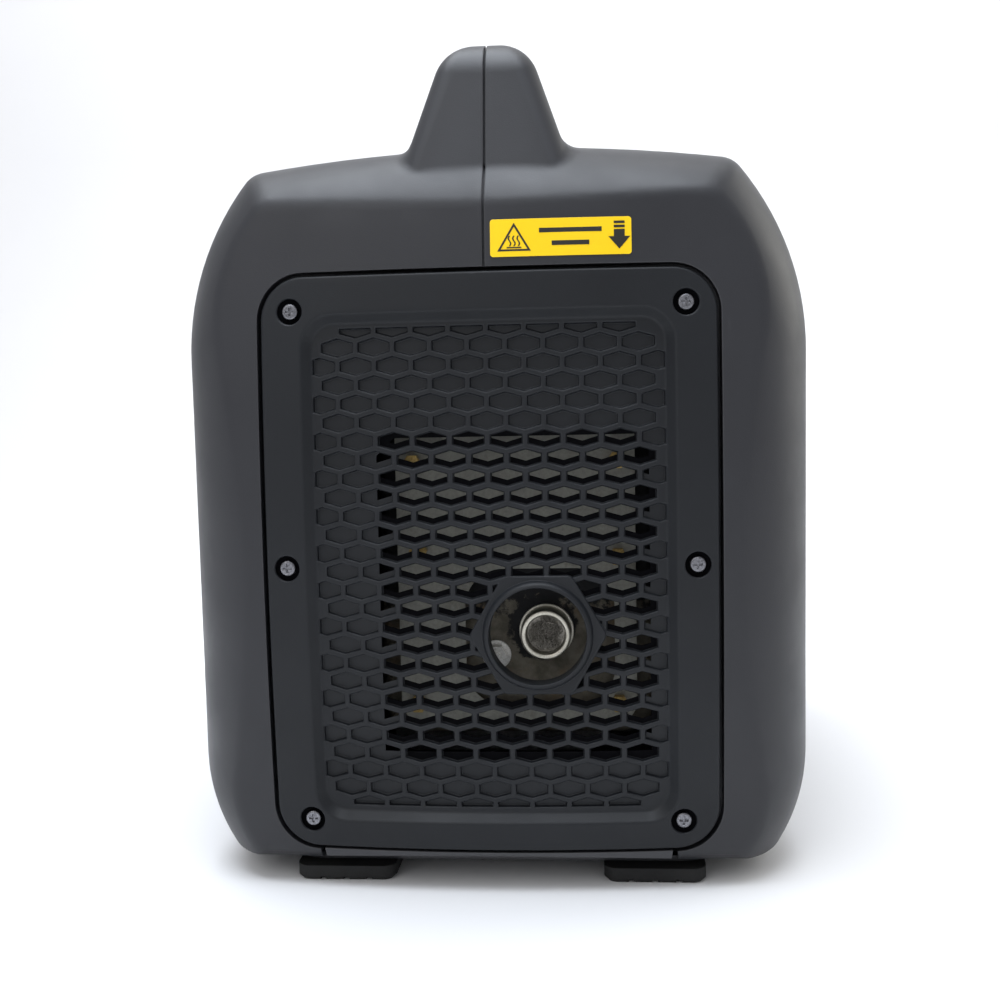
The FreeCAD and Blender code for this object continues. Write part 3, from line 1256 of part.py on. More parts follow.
def make_fuel_cap():
    low = well_floor + 3.4
    skirt = rod("Z", (0, cap_y, low), cap_radius, 15)
    grips = [rod("Z", (cap_radius * 1.02 * math.cos(a), cap_y + cap_radius * 1.02 * math.sin(a), low - 1), 2.0, 12)
             for a in [math.radians(15 * i) for i in range(24)]]
    bore = rod("Z", (0, cap_y, low - 1), neck_radius + 0.5, 9)
    plug = rod("Z", (0, cap_y, low - 4), neck_radius - 2.8, 14)
    vent = rod("Z", (0, cap_y, low + 10), 4.0 + running_gap, 10)
    return without(join([skirt.cut(bore), plug]), grips + [vent])


def make_cap_vent_lever():
    low = well_floor + 18.5
    stem = rod("Z", (0, cap_y, low - 4.5), 4.0, 6)
    knob = rod("Z", (0, cap_y, low + 0.2), 8.5, 4)
    arm = rounded_block("Z", (-3.5, 3.5), (cap_y, cap_y + 17), (low + 0.2, low + 4.2), 3.2)
    return join([stem, knob, arm])


def fuel_hose_route():
    y = 30
    low = port_z - 26
    return [(-60, y, tank_bottom - 12), (-60, y, tank_bottom - 30), (-66, y - 24, tank_bottom - 52),
            (-70, cylinder_y + 42, low), (-70, cylinder_y + 15, low)]


def make_fuel_hose():
    return tube(fuel_hose_route(), 3.6)


# ------------------------------------------------------------------ inverter
def make_inverter():
    y0, y1 = inverter_y, inverter_y + 34
    base = rounded_block("Y", (-78, 78), (floor_inside + wall + 12, inverter_top), (y0 + 12, y1), 4)
    fins = [box((-76 + 8 * i, -73.5 + 8 * i), (y0, y0 + 12.5), (floor_inside + wall + 14, inverter_top - 2))
            for i in range(20)]
    legs = [box((x - 8, x + 8), (y1 - 14, y1 - 2), (floor_inside + wall, floor_inside + wall + 13))
            for x in (-55, 55)]
    return join([base] + fins + legs)


# ------------------------------------------------------------------ places that several parts share
bearing_outer = 18.0
stator_bore = 22.0
gear_width = 7.0
gear_y = crankcase_rear - 12.0
cam_reach = gear_module * (crank_teeth + cam_teeth) / 2
cam_x = -cam_reach * math.cos(math.radians(31.5))
cam_z = crank_z - cam_reach * math.sin(math.radians(31.5))
rest_pin_z = crank_z + rod_length - stroke / 2
head_z = rest_pin_z + stroke + 19.0
port_z = head_z + 13.0
starter_cup_rear = crankcase_rear + 68
shroud_rear = crankcase_rear + 78
pulley_y = shroud_rear + 12
rope_z = crank_z + pulley_radius
dipstick_y = crankcase_front + 28
dipstick_z = crankcase_bottom + 24
mount_foot = floor_inside + 16
tray_half_x = cover_half + 0.5
muffler_front = -half_length + 33.0
muffler_back = crankcase_front - 14
tip_end = -half_length + 19.0
tank_half_x = 100.0
tank_half_y = 112.0
tank_top = well_floor - wall - 6
tank_bottom = head_z + 52
tank_seam = (tank_top + tank_bottom) / 2
neck_radius = 20.0
inverter_y = half_length - 68.0
inverter_top = field_bottom + 40.0
latch_y = (door_front + door_rear) / 2
latch_z = door_top - 14
latch_radius = 9.0
latch_stem = 2.5
socket_half = 15.5
socket_z = field_bottom + 62
socket_places = (-44.0, 8.0)
dial_radius = 26.0
dial_stem = 5.0
dial_x = -44.0
dial_z = field_top - 44
eco_x = 20.0
eco_z = field_top - 28
lamp_radius = 3.0
lamp_places = (46.0, 58.0, 70.0)
lamp_z = field_top - 28
reset_radius = 6.0
reset_x = 58.0
reset_z = field_top - 62
dc_x = -44.0
usb_x = 6.0
dc_z = socket_z + 62
terminal_radius = 2.9
ground_x = 58.0
ground_z = field_bottom + 30


def cap_hole(shell):
    """Hole in the well's floor that the tank's neck comes through."""
    return shell.cut(rod("Z", (0, cap_y, well_floor - 20), neck_radius + 2, 40))


def all_parts():
    casing = whole_casing()
    yield "left_shell", cap_hole(make_left_shell(casing))
    yield "right_shell", cap_hole(make_right_shell(casing))
    yield "exhaust_cover", make_exhaust_cover()
    yield "caution_plate", make_caution_plate()
    yield "control_panel", make_control_panel()
    yield "casing_screws", make_casing_screws()
    yield "base_tray", make_base_tray()
    yield "rubber_feet", make_rubber_feet()
    yield "service_door", make_service_door()
    yield "door_latch", make_door_latch()
    yield "recoil_grip", make_recoil_grip()
    yield "engine_mounts", make_engine_mounts()
    yield "crankcase", make_crankcase()
    yield "crankcase_cover", make_crankcase_cover()
    yield "main_bearings", make_bearings()
    yield "crankshaft", make_crankshaft()
    yield "camshaft", make_camshaft()
    yield "cylinder", make_cylinder()
    yield "piston", make_piston()
    yield "piston_pin", make_piston_pin()
    yield "cylinder_head", make_cylinder_head()
    yield "valve_cover", make_valve_cover()
    yield "spark_plug", make_spark_plug()
    yield "spark_plug_lead", make_spark_plug_lead()
    yield "ignition_coil", make_ignition_coil()
    yield "carburettor", make_carburettor()
    yield "air_box", make_air_box()
    yield "air_filter", make_air_filter()
    yield "air_box_cover", make_air_box_cover()
    yield "oil_dipstick", make_dipstick()
    yield "stator", make_stator()
    yield "rotor", make_rotor()
    yield "cooling_fan", make_fan()
    yield "starter_cup", make_starter_cup()
    yield "fan_shroud", make_fan_shroud()
    yield "recoil_housing", make_recoil_housing()
    yield "recoil_pulley", make_recoil_pulley()
    yield "recoil_rope_coil", make_recoil_rope_coil()
    yield "recoil_rope_run", make_recoil_rope_run()
    yield "recoil_spring", make_recoil_spring()
    yield "muffler", make_muffler()
    yield "exhaust_tip", make_exhaust_tip()
    yield "spark_arrestor", make_spark_arrestor()
    yield "muffler_shield", make_muffler_shield()
    yield "muffler_bolts", make_muffler_bolts()
    yield "fuel_tank", make_fuel_tank()
    yield "fuel_cap", make_fuel_cap()
    yield "cap_vent_lever", make_cap_vent_lever()
    yield "fuel_hose", make_fuel_hose()
    yield "inverter_module", make_inverter()
    yield from panel_controls()


def panel_controls():
    yield "ac_sockets", Part.makeCompound([make_socket(x) for x in socket_places])
    yield "socket_hinges", make_socket_hinges()
    yield "socket_cover_left", make_socket_cover(socket_places[0])
    yield "socket_cover_right", make_socket_cover(socket_places[1])
    yield "engine_dial", make_engine_dial()
    yield "eco_switch", make_eco_switch()
    yield "reset_button", make_reset_button()
    yield "status_lamps", make_lamps()
    yield "dc_usb_outlet", make_dc_usb_outlet()
    yield "ground_terminal", make_ground_terminal()


os.makedirs("parts", exist_ok=True)
for name, shape in all_parts():
    print(name, shape.isValid(), len(shape.Solids), round(shape.Volume / 1000, 2), flush=True)
    shape.exportStep("parts/" + name + ".step")
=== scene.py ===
import json
import math
import random

import bmesh
import bpy
from mathutils import Matrix, Vector


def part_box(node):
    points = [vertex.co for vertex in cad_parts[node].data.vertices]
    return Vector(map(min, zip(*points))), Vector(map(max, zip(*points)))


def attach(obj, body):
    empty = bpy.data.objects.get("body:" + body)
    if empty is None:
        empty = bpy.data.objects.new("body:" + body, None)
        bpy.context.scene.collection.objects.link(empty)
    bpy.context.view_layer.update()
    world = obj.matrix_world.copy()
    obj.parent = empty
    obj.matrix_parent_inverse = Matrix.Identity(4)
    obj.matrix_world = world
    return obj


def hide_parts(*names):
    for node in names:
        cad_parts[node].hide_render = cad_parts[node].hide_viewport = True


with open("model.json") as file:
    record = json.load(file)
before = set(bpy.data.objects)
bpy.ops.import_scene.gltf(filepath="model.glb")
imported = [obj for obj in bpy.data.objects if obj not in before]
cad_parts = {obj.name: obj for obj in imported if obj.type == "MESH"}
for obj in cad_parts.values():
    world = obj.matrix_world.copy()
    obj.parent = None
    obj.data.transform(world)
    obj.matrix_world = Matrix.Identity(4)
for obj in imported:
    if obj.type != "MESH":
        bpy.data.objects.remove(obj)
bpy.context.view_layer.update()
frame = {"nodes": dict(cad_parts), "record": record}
NODES = frame["nodes"]

# Metres, in the part's own frame: X across, -Y the exhaust end, Z up.
BOW_APEX, BOW_RX, BOW_RZ, BOW_Z = -0.221, 0.770, 1.500, 0.166
TIP_X, TIP_Z, TIP_FRONT = 0.0262, 0.129, -0.201


def face_y(x, z, inset=0.0):
    """Y of the bowed exhaust end."""
    return BOW_APEX + inset + x * x / (2 * BOW_RX) + (z - BOW_Z) ** 2 / (2 * BOW_RZ)


# ---------------------------------------------------------------- materials
class Nodes:
    """Small helper that adds shader nodes and joins them."""

    def __init__(self, name):
        self.material = bpy.data.materials.new(name)
        self.material.use_nodes = True
        self.tree = self.material.node_tree
        self.tree.nodes.clear()
        self.out = self.add("ShaderNodeOutputMaterial")
        self.shader = self.add("ShaderNodeBsdfPrincipled")
        self.link(self.shader.outputs[0], self.out.inputs[0])
        self.place = self.add("ShaderNodeTexCoord").outputs["Object"]

    def add(self, kind, **values):
        node = self.tree.nodes.new(kind)
        for key, value in values.items():
            if hasattr(node, key):
                setattr(node, key, value)
            else:
                node.inputs[key.replace("_", " ")].default_value = value
        return node

    def link(self, a, b):
        self.tree.links.new(a, b)

    def noise(self, scale, detail=2.0, stretch=None, rough=0.5):
        source = self.place
        if stretch:
            mapping = self.add("ShaderNodeMapping")
            mapping.inputs["Scale"].default_value = stretch
            self.link(source, mapping.inputs[0])
            source = mapping.outputs[0]
        node = self.add("ShaderNodeTexNoise")
        node.inputs["Scale"].default_value = scale
        node.inputs["Detail"].default_value = detail
        node.inputs["Roughness"].default_value = rough
        self.link(source, node.inputs["Vector"])
        return node.outputs["Fac"]

    def remap(self, value, low, high, to_low, to_high):
        node = self.add("ShaderNodeMapRange")
        for i, number in enumerate((low, high, to_low, to_high), 1):
            node.inputs[i].default_value = number
        self.link(value, node.inputs[0])
        return node.outputs[0]

    def mix(self, factor, a, b):
        node = self.add("ShaderNodeMix", data_type="RGBA")
        self.link(factor, node.inputs[0])
        for socket, colour in ((node.inputs[6], a), (node.inputs[7], b)):
            if isinstance(colour, tuple):
                socket.default_value = (*colour, 1.0)
            else:
                self.link(colour, socket)
        return node.outputs[2]

    def edges(self, radius, gain=5.0):
        """1 along rounded edges and 0 on flats, and the normal that goes with it."""
        bevel = self.add("ShaderNodeBevel", samples=6)
        bevel.inputs["Radius"].default_value = radius
        geometry = self.add("ShaderNodeNewGeometry")
        dot = self.add("ShaderNodeVectorMath", operation="DOT_PRODUCT")
        self.link(bevel.outputs[0], dot.inputs[0])
        self.link(geometry.outputs["Normal"], dot.inputs[1])
        return self.remap(dot.outputs["Value"], 1.0, 1.0 - 1.0 / gain, 0.0, 1.0), bevel.outputs[0]

    def bump(self, height, distance, strength=1.0, normal=None):
        node = self.add("ShaderNodeBump")
        node.inputs["Strength"].default_value = strength
        node.inputs["Distance"].default_value = distance
        self.link(height, node.inputs["Height"])
        if normal:
            self.link(normal, node.inputs["Normal"])
        return node.outputs[0]


def plastic(name, dark, light, edge, rough=(0.42, 0.55), radius=0.0007, grain=0.00006, grain_scale=1500.0,
            edge_highlight_amount=0.6, specular=0.5):
    """Moulded plastic: spark-eroded grain, slow tone variation, and a painted highlight: the colour turns
    paler along rounded edges.
    """
    n = Nodes(name)
    slow = n.noise(9.0, 3.0)
    fine = n.noise(grain_scale, 2.0)
    tone = n.mix(n.remap(slow, 0.3, 0.7, 0.0, 1.0), dark, light)
    speckle = n.mix(n.remap(fine, 0.35, 0.75, 0.0, 0.35), tone, light)
    # Painted highlight: the base colour is lifted towards the edge colour along rounded edges.
    edge_highlight_mask, normal = n.edges(radius)
    n.link(n.mix(n.remap(edge_highlight_mask, 0.0, 1.0, 0.0, edge_highlight_amount), speckle, edge),
           n.shader.inputs["Base Color"])
    n.link(n.remap(n.noise(30.0, 3.0), 0.3, 0.7, *rough), n.shader.inputs["Roughness"])
    n.link(n.bump(fine, grain, 1.0, normal), n.shader.inputs["Normal"])
    n.shader.inputs["Specular IOR Level"].default_value = specular
    return n.material


def metal(name, dark, light, rough=(0.25, 0.45), radius=0.0003, grain=0.00002, scale=900.0, stretch=None,
          metallic=1.0, stain=None, stain_scale=60.0, stain_share=0.5):
    n = Nodes(name)
    fine = n.noise(scale, 3.0, stretch)
    tone = n.mix(n.remap(fine, 0.3, 0.7, 0.0, 1.0), dark, light)
    if stain:
        spots = n.noise(stain_scale, 6.0, rough=0.65)
        tone = n.mix(n.remap(spots, 1.0 - stain_share - 0.08, 1.0 - stain_share + 0.1, 0.0, 1.0), tone, stain)
    n.link(tone, n.shader.inputs["Base Color"])
    _, normal = n.edges(radius)
    n.shader.inputs["Metallic"].default_value = metallic
    n.link(n.remap(n.noise(80.0, 4.0), 0.3, 0.7, *rough), n.shader.inputs["Roughness"])
    n.link(n.bump(fine, grain, 1.0, normal), n.shader.inputs["Normal"])
    return n.material


def rubber(name, dark, light):
    return plastic(name, dark, light, light, (0.6, 0.8), 0.0008, 0.00008, 900.0, 0.4, 0.3)


# The third colour of each plastic is its painted edge highlight.
SHELL = plastic("charcoal_shell", (0.017, 0.0175, 0.0205), (0.022, 0.0225, 0.0265), (0.085, 0.085, 0.09),
                (0.40, 0.50), 0.0011, 0.00005, 1800.0, 0.5, 0.38)
COVER = plastic("charcoal_cover", (0.0058, 0.0068, 0.0088), (0.0082, 0.0096, 0.0122), (0.040, 0.043, 0.049),
                (0.42, 0.52), 0.0008, 0.00005, 1800.0, 0.55, 0.30)
TRAY = plastic("charcoal_tray", (0.034, 0.0345, 0.039), (0.043, 0.0435, 0.048), (0.11, 0.11, 0.115),
               (0.38, 0.48), 0.0011, 0.00005, 1800.0, 0.5, 0.42)
# Painted shade: near-black, barely reflective plastic for the floors and walls of the grille cells that open
# right through.
PAINTED_SHADE = plastic("shadowed_plastic", (0.0015, 0.0015, 0.002), (0.002, 0.002, 0.003), (0.003, 0.003, 0.004),
               (0.8, 0.9), 0.0003, 0.00003, 1500.0, 0.2, 0.06)
BLACK = plastic("black_plastic", (0.008, 0.008, 0.009), (0.013, 0.013, 0.014), (0.04, 0.04, 0.04))
GREY = plastic("grey_plastic", (0.11, 0.115, 0.12), (0.15, 0.155, 0.16), (0.3, 0.3, 0.3))
RED = plastic("red_plastic", (0.40, 0.02, 0.012), (0.50, 0.035, 0.02), (0.7, 0.2, 0.15), (0.2, 0.3))
LENS = plastic("lamp_lens", (0.30, 0.26, 0.10), (0.38, 0.33, 0.14), (0.7, 0.65, 0.4), (0.1, 0.18))
RUBBER = rubber("black_rubber", (0.009, 0.009, 0.009), (0.016, 0.016, 0.016))
SCREW = metal("screw_steel", (0.12, 0.12, 0.13), (0.26, 0.26, 0.28), (0.22, 0.4), 0.0004, 0.00002, 1500.0)
STEEL = metal("plain_steel", (0.36, 0.36, 0.37), (0.52, 0.52, 0.53), (0.25, 0.4))
BRIGHT = metal("tip_steel", (0.40, 0.38, 0.32), (0.56, 0.54, 0.47), (0.30, 0.46), 0.0008, 0.00001, 1200.0)
SOOT = metal("sooted_steel", (0.14, 0.135, 0.11), (0.24, 0.225, 0.185), (0.45, 0.65), 0.0006, 0.00004, 500.0,
             metallic=0.55, stain=(0.045, 0.035, 0.025), stain_scale=75.0, stain_share=0.42)
SHIELD = metal("shield_steel", (0.27, 0.27, 0.24), (0.35, 0.345, 0.30), (0.4, 0.6), 0.0004, 0.00002, 700.0,
               metallic=0.15, stain=(0.16, 0.145, 0.115), stain_scale=40.0, stain_share=0.35)
ALUMINIUM = metal("cast_aluminium", (0.42, 0.43, 0.44), (0.55, 0.56, 0.57), (0.4, 0.6),
                  0.0006, 0.00012, 700.0)
IRON = metal("cast_iron", (0.05, 0.05, 0.052), (0.09, 0.09, 0.092), (0.5, 0.7), 0.0006, 0.00015, 600.0)
BRASS = metal("brass", (0.45, 0.32, 0.12), (0.62, 0.46, 0.20), (0.25, 0.45))
COPPER = metal("winding", (0.35, 0.14, 0.05), (0.50, 0.22, 0.09), (0.3, 0.5), 0.0005, 0.0003, 350.0,
               (1.0, 1.0, 6.0))
WOOL = metal("wire_wool", (0.15, 0.14, 0.12), (0.32, 0.30, 0.27), (0.3, 0.5))
FOAM = plastic("foam", (0.03, 0.03, 0.03), (0.06, 0.06, 0.06), (0.08, 0.08, 0.08), (0.8, 0.95), 0.0005,
               0.0004, 500.0)
ROPE = plastic("rope", (0.45, 0.43, 0.37), (0.60, 0.58, 0.52), (0.7, 0.7, 0.65), (0.7, 0.85), 0.0003,
               0.0003, 700.0)
YELLOW = plastic("yellow_plate", (0.90, 0.58, 0.0), (0.95, 0.63, 0.0), (1.0, 0.85, 0.3), (0.35, 0.45), 0.0002,
                 0.00001, 900.0, 0.3, 0.4)
INK = plastic("black_ink", (0.008, 0.007, 0.004), (0.014, 0.012, 0.006), (0.03, 0.03, 0.03), (0.4, 0.5),
             0.0001)

LOOKS = {
    "charcoal_plastic": SHELL, "black_plastic": BLACK, "grey_plastic": GREY, "red_plastic": RED,
    "lens_plastic": LENS, "yellow_label": YELLOW, "black_rubber": RUBBER, "screw_steel": SCREW,
    "steel": STEEL,
    "bright_steel": BRIGHT, "sooted_steel": SOOT, "aluminium": ALUMINIUM, "cast_iron": IRON, "brass": BRASS,
    "copper": COPPER, "mesh_steel": WOOL, "foam": FOAM, "rope": ROPE}


def steel_with_painted_shadow(name):
    """Tan-grey heat-stained steel with rust patches, and a painted shadow in black above and beside the
    exhaust tip, so the rust shows only below it.
    """
    n = Nodes(name)
    fine = n.noise(700.0, 4.0)
    patch = n.noise(55.0, 6.0, rough=0.7)
    base = n.mix(n.remap(n.noise(120.0, 5.0, rough=0.65), 0.35, 0.65, 0.0, 1.0), (0.070, 0.062, 0.046),
                 (0.145, 0.132, 0.104))
    rust = n.mix(n.remap(patch, 0.52, 0.66, 0.0, 0.7), base, (0.14, 0.085, 0.04))
    split = n.add("ShaderNodeSeparateXYZ")
    n.link(n.place, split.inputs[0])
    # Painted shadow: black above the tip's level and in a ring beside the tip, with a ragged edge from noise.
    high = n.remap(split.outputs["Z"], TIP_Z + 0.004, TIP_Z + 0.022, 0.0, 1.0)
    gap = n.add("ShaderNodeVectorMath", operation="DISTANCE")
    n.link(n.place, gap.inputs[0])
    gap.inputs[1].default_value = (TIP_X - 0.002, -0.187, TIP_Z + 0.002)
    close = n.remap(gap.outputs["Value"], 0.0135, 0.0205, 1.0, 0.0)
    both = n.add("ShaderNodeMath", operation="MAXIMUM")
    n.link(high, both.inputs[0])
    n.link(close, both.inputs[1])
    ragged = n.add("ShaderNodeMath", operation="ADD")
    n.link(both.outputs[0], ragged.inputs[0])
    n.link(n.remap(n.noise(180.0, 6.0, rough=0.7), 0.3, 0.7, -0.45, 0.45), ragged.inputs[1])
    painted_shadow = n.remap(ragged.outputs[0], 0.35, 0.62, 0.0, 1.0)
    n.link(n.mix(painted_shadow, rust, (0.006, 0.006, 0.007)), n.shader.inputs["Base Color"])
    n.shader.inputs["Metallic"].default_value = 0.25
    n.shader.inputs["Specular IOR Level"].default_value = 0.3
    n.link(n.remap(patch, 0.3, 0.7, 0.5, 0.8), n.shader.inputs["Roughness"])
    _, normal = n.edges(0.0006)
    n.link(n.bump(fine, 0.00008, 1.0, normal), n.shader.inputs["Normal"])
    return n.material


def two_metals():
    """Brass-coloured bolts, and bright steel for the nut beside the exhaust tip."""
    n = Nodes("bolts_and_nut")
    fine = n.noise(1200.0, 3.0)
    split = n.add("ShaderNodeVectorMath", operation="DISTANCE")
    n.link(n.place, split.inputs[0])
    split.inputs[1].default_value = (0.0002, -0.193, 0.1165)
    near = n.remap(split.outputs["Value"], 0.0135, 0.0125, 0.0, 1.0)
    brass = n.mix(n.remap(fine, 0.3, 0.7, 0.0, 1.0), (0.38, 0.25, 0.08), (0.62, 0.45, 0.18))
    steel = n.mix(n.remap(fine, 0.3, 0.7, 0.0, 1.0), (0.50, 0.49, 0.46), (0.74, 0.73, 0.70))
    n.link(n.mix(near, brass, steel), n.shader.inputs["Base Color"])
    n.shader.inputs["Metallic"].default_value = 0.9
    n.link(n.remap(n.noise(90.0, 4.0), 0.3, 0.7, 0.25, 0.45), n.shader.inputs["Roughness"])
    _, normal = n.edges(0.0004)
    n.link(n.bump(fine, 0.00002, 1.0, normal), n.shader.inputs["Normal"])
    return n.material


OWN_LOOK = {"muffler": steel_with_painted_shadow("muffler_painted_shadow"), "muffler_bolts": two_metals(), "exhaust_cover": COVER,
            "control_panel": COVER, "service_door": COVER, "base_tray": TRAY, "muffler_shield": SHIELD}


def paint(piece, material):
    piece.data.materials.clear()
    piece.data.materials.append(material)


def smooth(piece, angle=32.0):
    """Closed edges and soft shading over everything flatter than angle."""
    piece.data.shade_smooth()
    weld = piece.modifiers.new("weld", "WELD")
    weld.merge_threshold = 2e-6
    split = piece.modifiers.new("split", "EDGE_SPLIT")
    split.split_angle = math.radians(angle)


slots = {row["node"]: row["material_slot"] for row in frame["record"]["subparts"]}
for name, node in NODES.items():
    paint(node, OWN_LOOK.get(name, LOOKS[slots[name]]))
    smooth(node)


# ---------------------------------------------------------------- mesh helpers
def piece_from(name, bm, material, body, replaced=()):
    mesh = bpy.data.meshes.new(name)
    bmesh.ops.recalc_face_normals(bm, faces=bm.faces)
    bm.to_mesh(mesh)
    bm.free()
    piece = bpy.data.objects.new(name, mesh)
    bpy.context.scene.collection.objects.link(piece)
    mesh.materials.append(material)
    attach(piece, body)
    if replaced:
        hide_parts(*replaced)
    return piece


def tube_along(bm, points, radius, sides=6, closed=False):
    """A round tube through points, its frame carried from point to point."""
    rings = []
    count = len(points)
    side = None
    for i, p in enumerate(points):
        ahead = points[(i + 1) % count] if closed or i + 1 < count else p
        behind = points[i - 1] if closed or i else p
        along = (ahead - behind).normalized()
        if side is None:
            side = along.orthogonal().normalized()
        side = (side - along * side.dot(along)).normalized()
        other = along.cross(side)
        ring = []
        for k in range(sides):
            a = 2 * math.pi * k / sides
            ring.append(bm.verts.new(p + (side * math.cos(a) + other * math.sin(a)) * radius))
        rings.append(ring)
    steps = count if closed else count - 1
    for i in range(steps):
        a, b = rings[i], rings[(i + 1) % count]
        for k in range(sides):
            bm.faces.new((a[k], a[(k + 1) % sides], b[(k + 1) % sides], b[k]))
    if not closed:
        bm.faces.new(rings[0][::-1])
        bm.faces.new(rings[-1])


# ---------------------------------------------------------------- the exhaust-end cover, in millimetres
COVER_HALF, COVER_LOW, COVER_HIGH, COVER_CORNER = 112.0, 22.0, 310.0, 21.5
COVER_BACK, COVER_WALL = -199.0, 3.0
FIELD_HALF, FIELD_LOW, FIELD_HIGH, FIELD_CORNER = 87.4, 40.5, 287.0, 12.0
RECESS = 5.0
SLOPE = 5.4
PITCH_X, PITCH_Z = 18.5, 9.25
CELL_WIDTH, CELL_HEIGHT, CELL_SIDE = 15.8, 9.1, 4.5
POCKET = 2.5
LIP = 0.75
WINDOW = [(-56.0, 68.7), (79.0, 68.7), (79.0, 230.5), (-47.0, 230.5), (-56.0, 221.5)]
V_BAND = 2.6
BOSS_X, BOSS_Z, BOSS_FLATS, BOSS_HOLE = 23.0, 132.0, 59.0, 24.0
BOSS_FRONT, BOSS_BACK = -220.0, -209.5
BOW_MIDDLE = BOW_Z * 1000
SCREW_PLACES = [(s * 97.0, 293.0) for s in (-1, 1)] + [(s * 94.0, 36.3) for s in (-1, 1)] + [
    (s * 101.5, BOW_MIDDLE) for s in (-1, 1)]


def bow(x, z):
    return face_y(x / 1000, z / 1000) * 1000


def rounded_rectangle(half, low, high, corner, side=14, arc=12):
    """Points round a rounded rectangle, the same number for every size."""
    centres = [(half - corner, high - corner, 0), (-half + corner, high - corner, 90),
               (-half + corner, low + corner, 180), (half - corner, low + corner, 270)]
    points = []
    for i, (cx, cz, start) in enumerate(centres):
        for k in range(arc + 1):
            a = math.radians(start + 90 * k / arc)
            points.append((cx + corner * math.cos(a), cz + corner * math.sin(a)))
        nx, nz, after = centres[(i + 1) % 4]
        a = math.radians(after)
        end = (nx + corner * math.cos(a), nz + corner * math.sin(a))
        first = points[-1]
        for k in range(1, side):
            t = k / side
            points.append((first[0] + (end[0] - first[0]) * t, first[1] + (end[1] - first[1]) * t))
    return points


def loft(bm, rings, material=0, cap_first=True, cap_last=True, floor_material=None):
    """Quads between rings of the same length, in millimetres."""
    rows = [[bm.verts.new((x / 1000, y / 1000, z / 1000)) for x, y, z in ring] for ring in rings]
    count = len(rows[0])
    for a, b in zip(rows, rows[1:]):
        for k in range(count):
            face = bm.faces.new((a[k], a[(k + 1) % count], b[(k + 1) % count], b[k]))
            face.material_index = material
    for wanted, row in ((cap_first, rows[0]), (cap_last, rows[-1])):
        if wanted:
            bm.faces.new(row).material_index = material if floor_material is None else floor_material
    return rows


def cover_rings(inset, sink, back):
    """Back plane, edge, rounded lip, frame, soft slope and field floor, as rings.

    sink sets the hollow below them.
    """
    lip = 1.3
    out = sink * 1.1
    rings = []
    outline = rounded_rectangle(COVER_HALF - inset, COVER_LOW + inset, COVER_HIGH - inset,
                                COVER_CORNER - inset)
    rings.append([(x, back, z) for x, z in outline])
    for k in range(5):
        a = math.pi / 2 * k / 4
        step, depth = lip * (1 - math.cos(a)), lip * (1 - math.sin(a))
        points = rounded_rectangle(COVER_HALF - inset - step, COVER_LOW + inset + step,
                                   COVER_HIGH - inset - step,
                                   COVER_CORNER - inset - step)
        rings.append([(x, bow(x, z) + sink + depth, z) for x, z in points])
    edge = SLOPE + out
    for t in (0.2, 0.4, 0.6, 0.8, 0.93):
        points = rounded_rectangle(
            COVER_HALF - inset + (FIELD_HALF + edge - COVER_HALF + inset) * t,
            COVER_LOW + inset + (FIELD_LOW - edge - COVER_LOW - inset) * t,
            COVER_HIGH - inset + (FIELD_HIGH + edge - COVER_HIGH + inset) * t,
            COVER_CORNER + (FIELD_CORNER + edge - COVER_CORNER) * t)
        rings.append([(x, bow(x, z) + sink, z) for x, z in points])
    profile = [(-0.9, 0.0), (-0.3, 0.05), (0.3, 0.3), (0.9, 0.85), (SLOPE - 1.3, RECESS - 0.85),
               (SLOPE - 0.6, RECESS - 0.3), (SLOPE, RECESS - 0.05), (SLOPE + 0.6, RECESS)]
    for step, depth in profile:
        grow = SLOPE - 0.9 - step + out
        points = rounded_rectangle(FIELD_HALF + grow, FIELD_LOW - grow, FIELD_HIGH + grow,
                                   FIELD_CORNER + grow)
        rings.append([(x, bow(x, z) + sink + depth, z) for x, z in points])
    last = rings[-1]
    spine = 80.0
    for k in range(1, 15):
        t = k / 14
        ring = []
        for x, _, z in last:
            zz = min(max(z, BOW_MIDDLE - spine), BOW_MIDDLE + spine)
            px, pz = x * (1 - t), z + (zz - z) * t
            ring.append((px, bow(px, pz) + sink + RECESS, pz))
        rings.append(ring)
    return rings


def solid_from(name, bm, materials):
    bmesh.ops.remove_doubles(bm, verts=bm.verts, dist=1e-7)
    loose = [f for f in bm.faces if f.calc_area() < 1e-13]
    if loose:
        bmesh.ops.dissolve_degenerate(bm, dist=1e-8, edges=bm.edges)
    bmesh.ops.recalc_face_normals(bm, faces=bm.faces)
    mesh = bpy.data.meshes.new(name)
    bm.to_mesh(mesh)
    bm.free()
    solid = bpy.data.objects.new(name, mesh)
    bpy.context.scene.collection.objects.link(solid)
    for material in materials:
        mesh.materials.append(material)
    return solid


def boolean(target, other, operation):
    """Applies target operation other, and removes other."""
    modifier = target.modifiers.new("boolean", "BOOLEAN")
    modifier.operation, modifier.object = operation, other
    modifier.solver = "MANIFOLD"
    bpy.context.view_layer.update()
    graph = bpy.context.evaluated_depsgraph_get()
    made = bpy.data.meshes.new_from_object(target.evaluated_get(graph))
    target.modifiers.clear()
    before = len(target.data.polygons)
    target.data = made
    print("boolean", operation, before, "->", len(made.polygons))
    bpy.data.objects.remove(other)


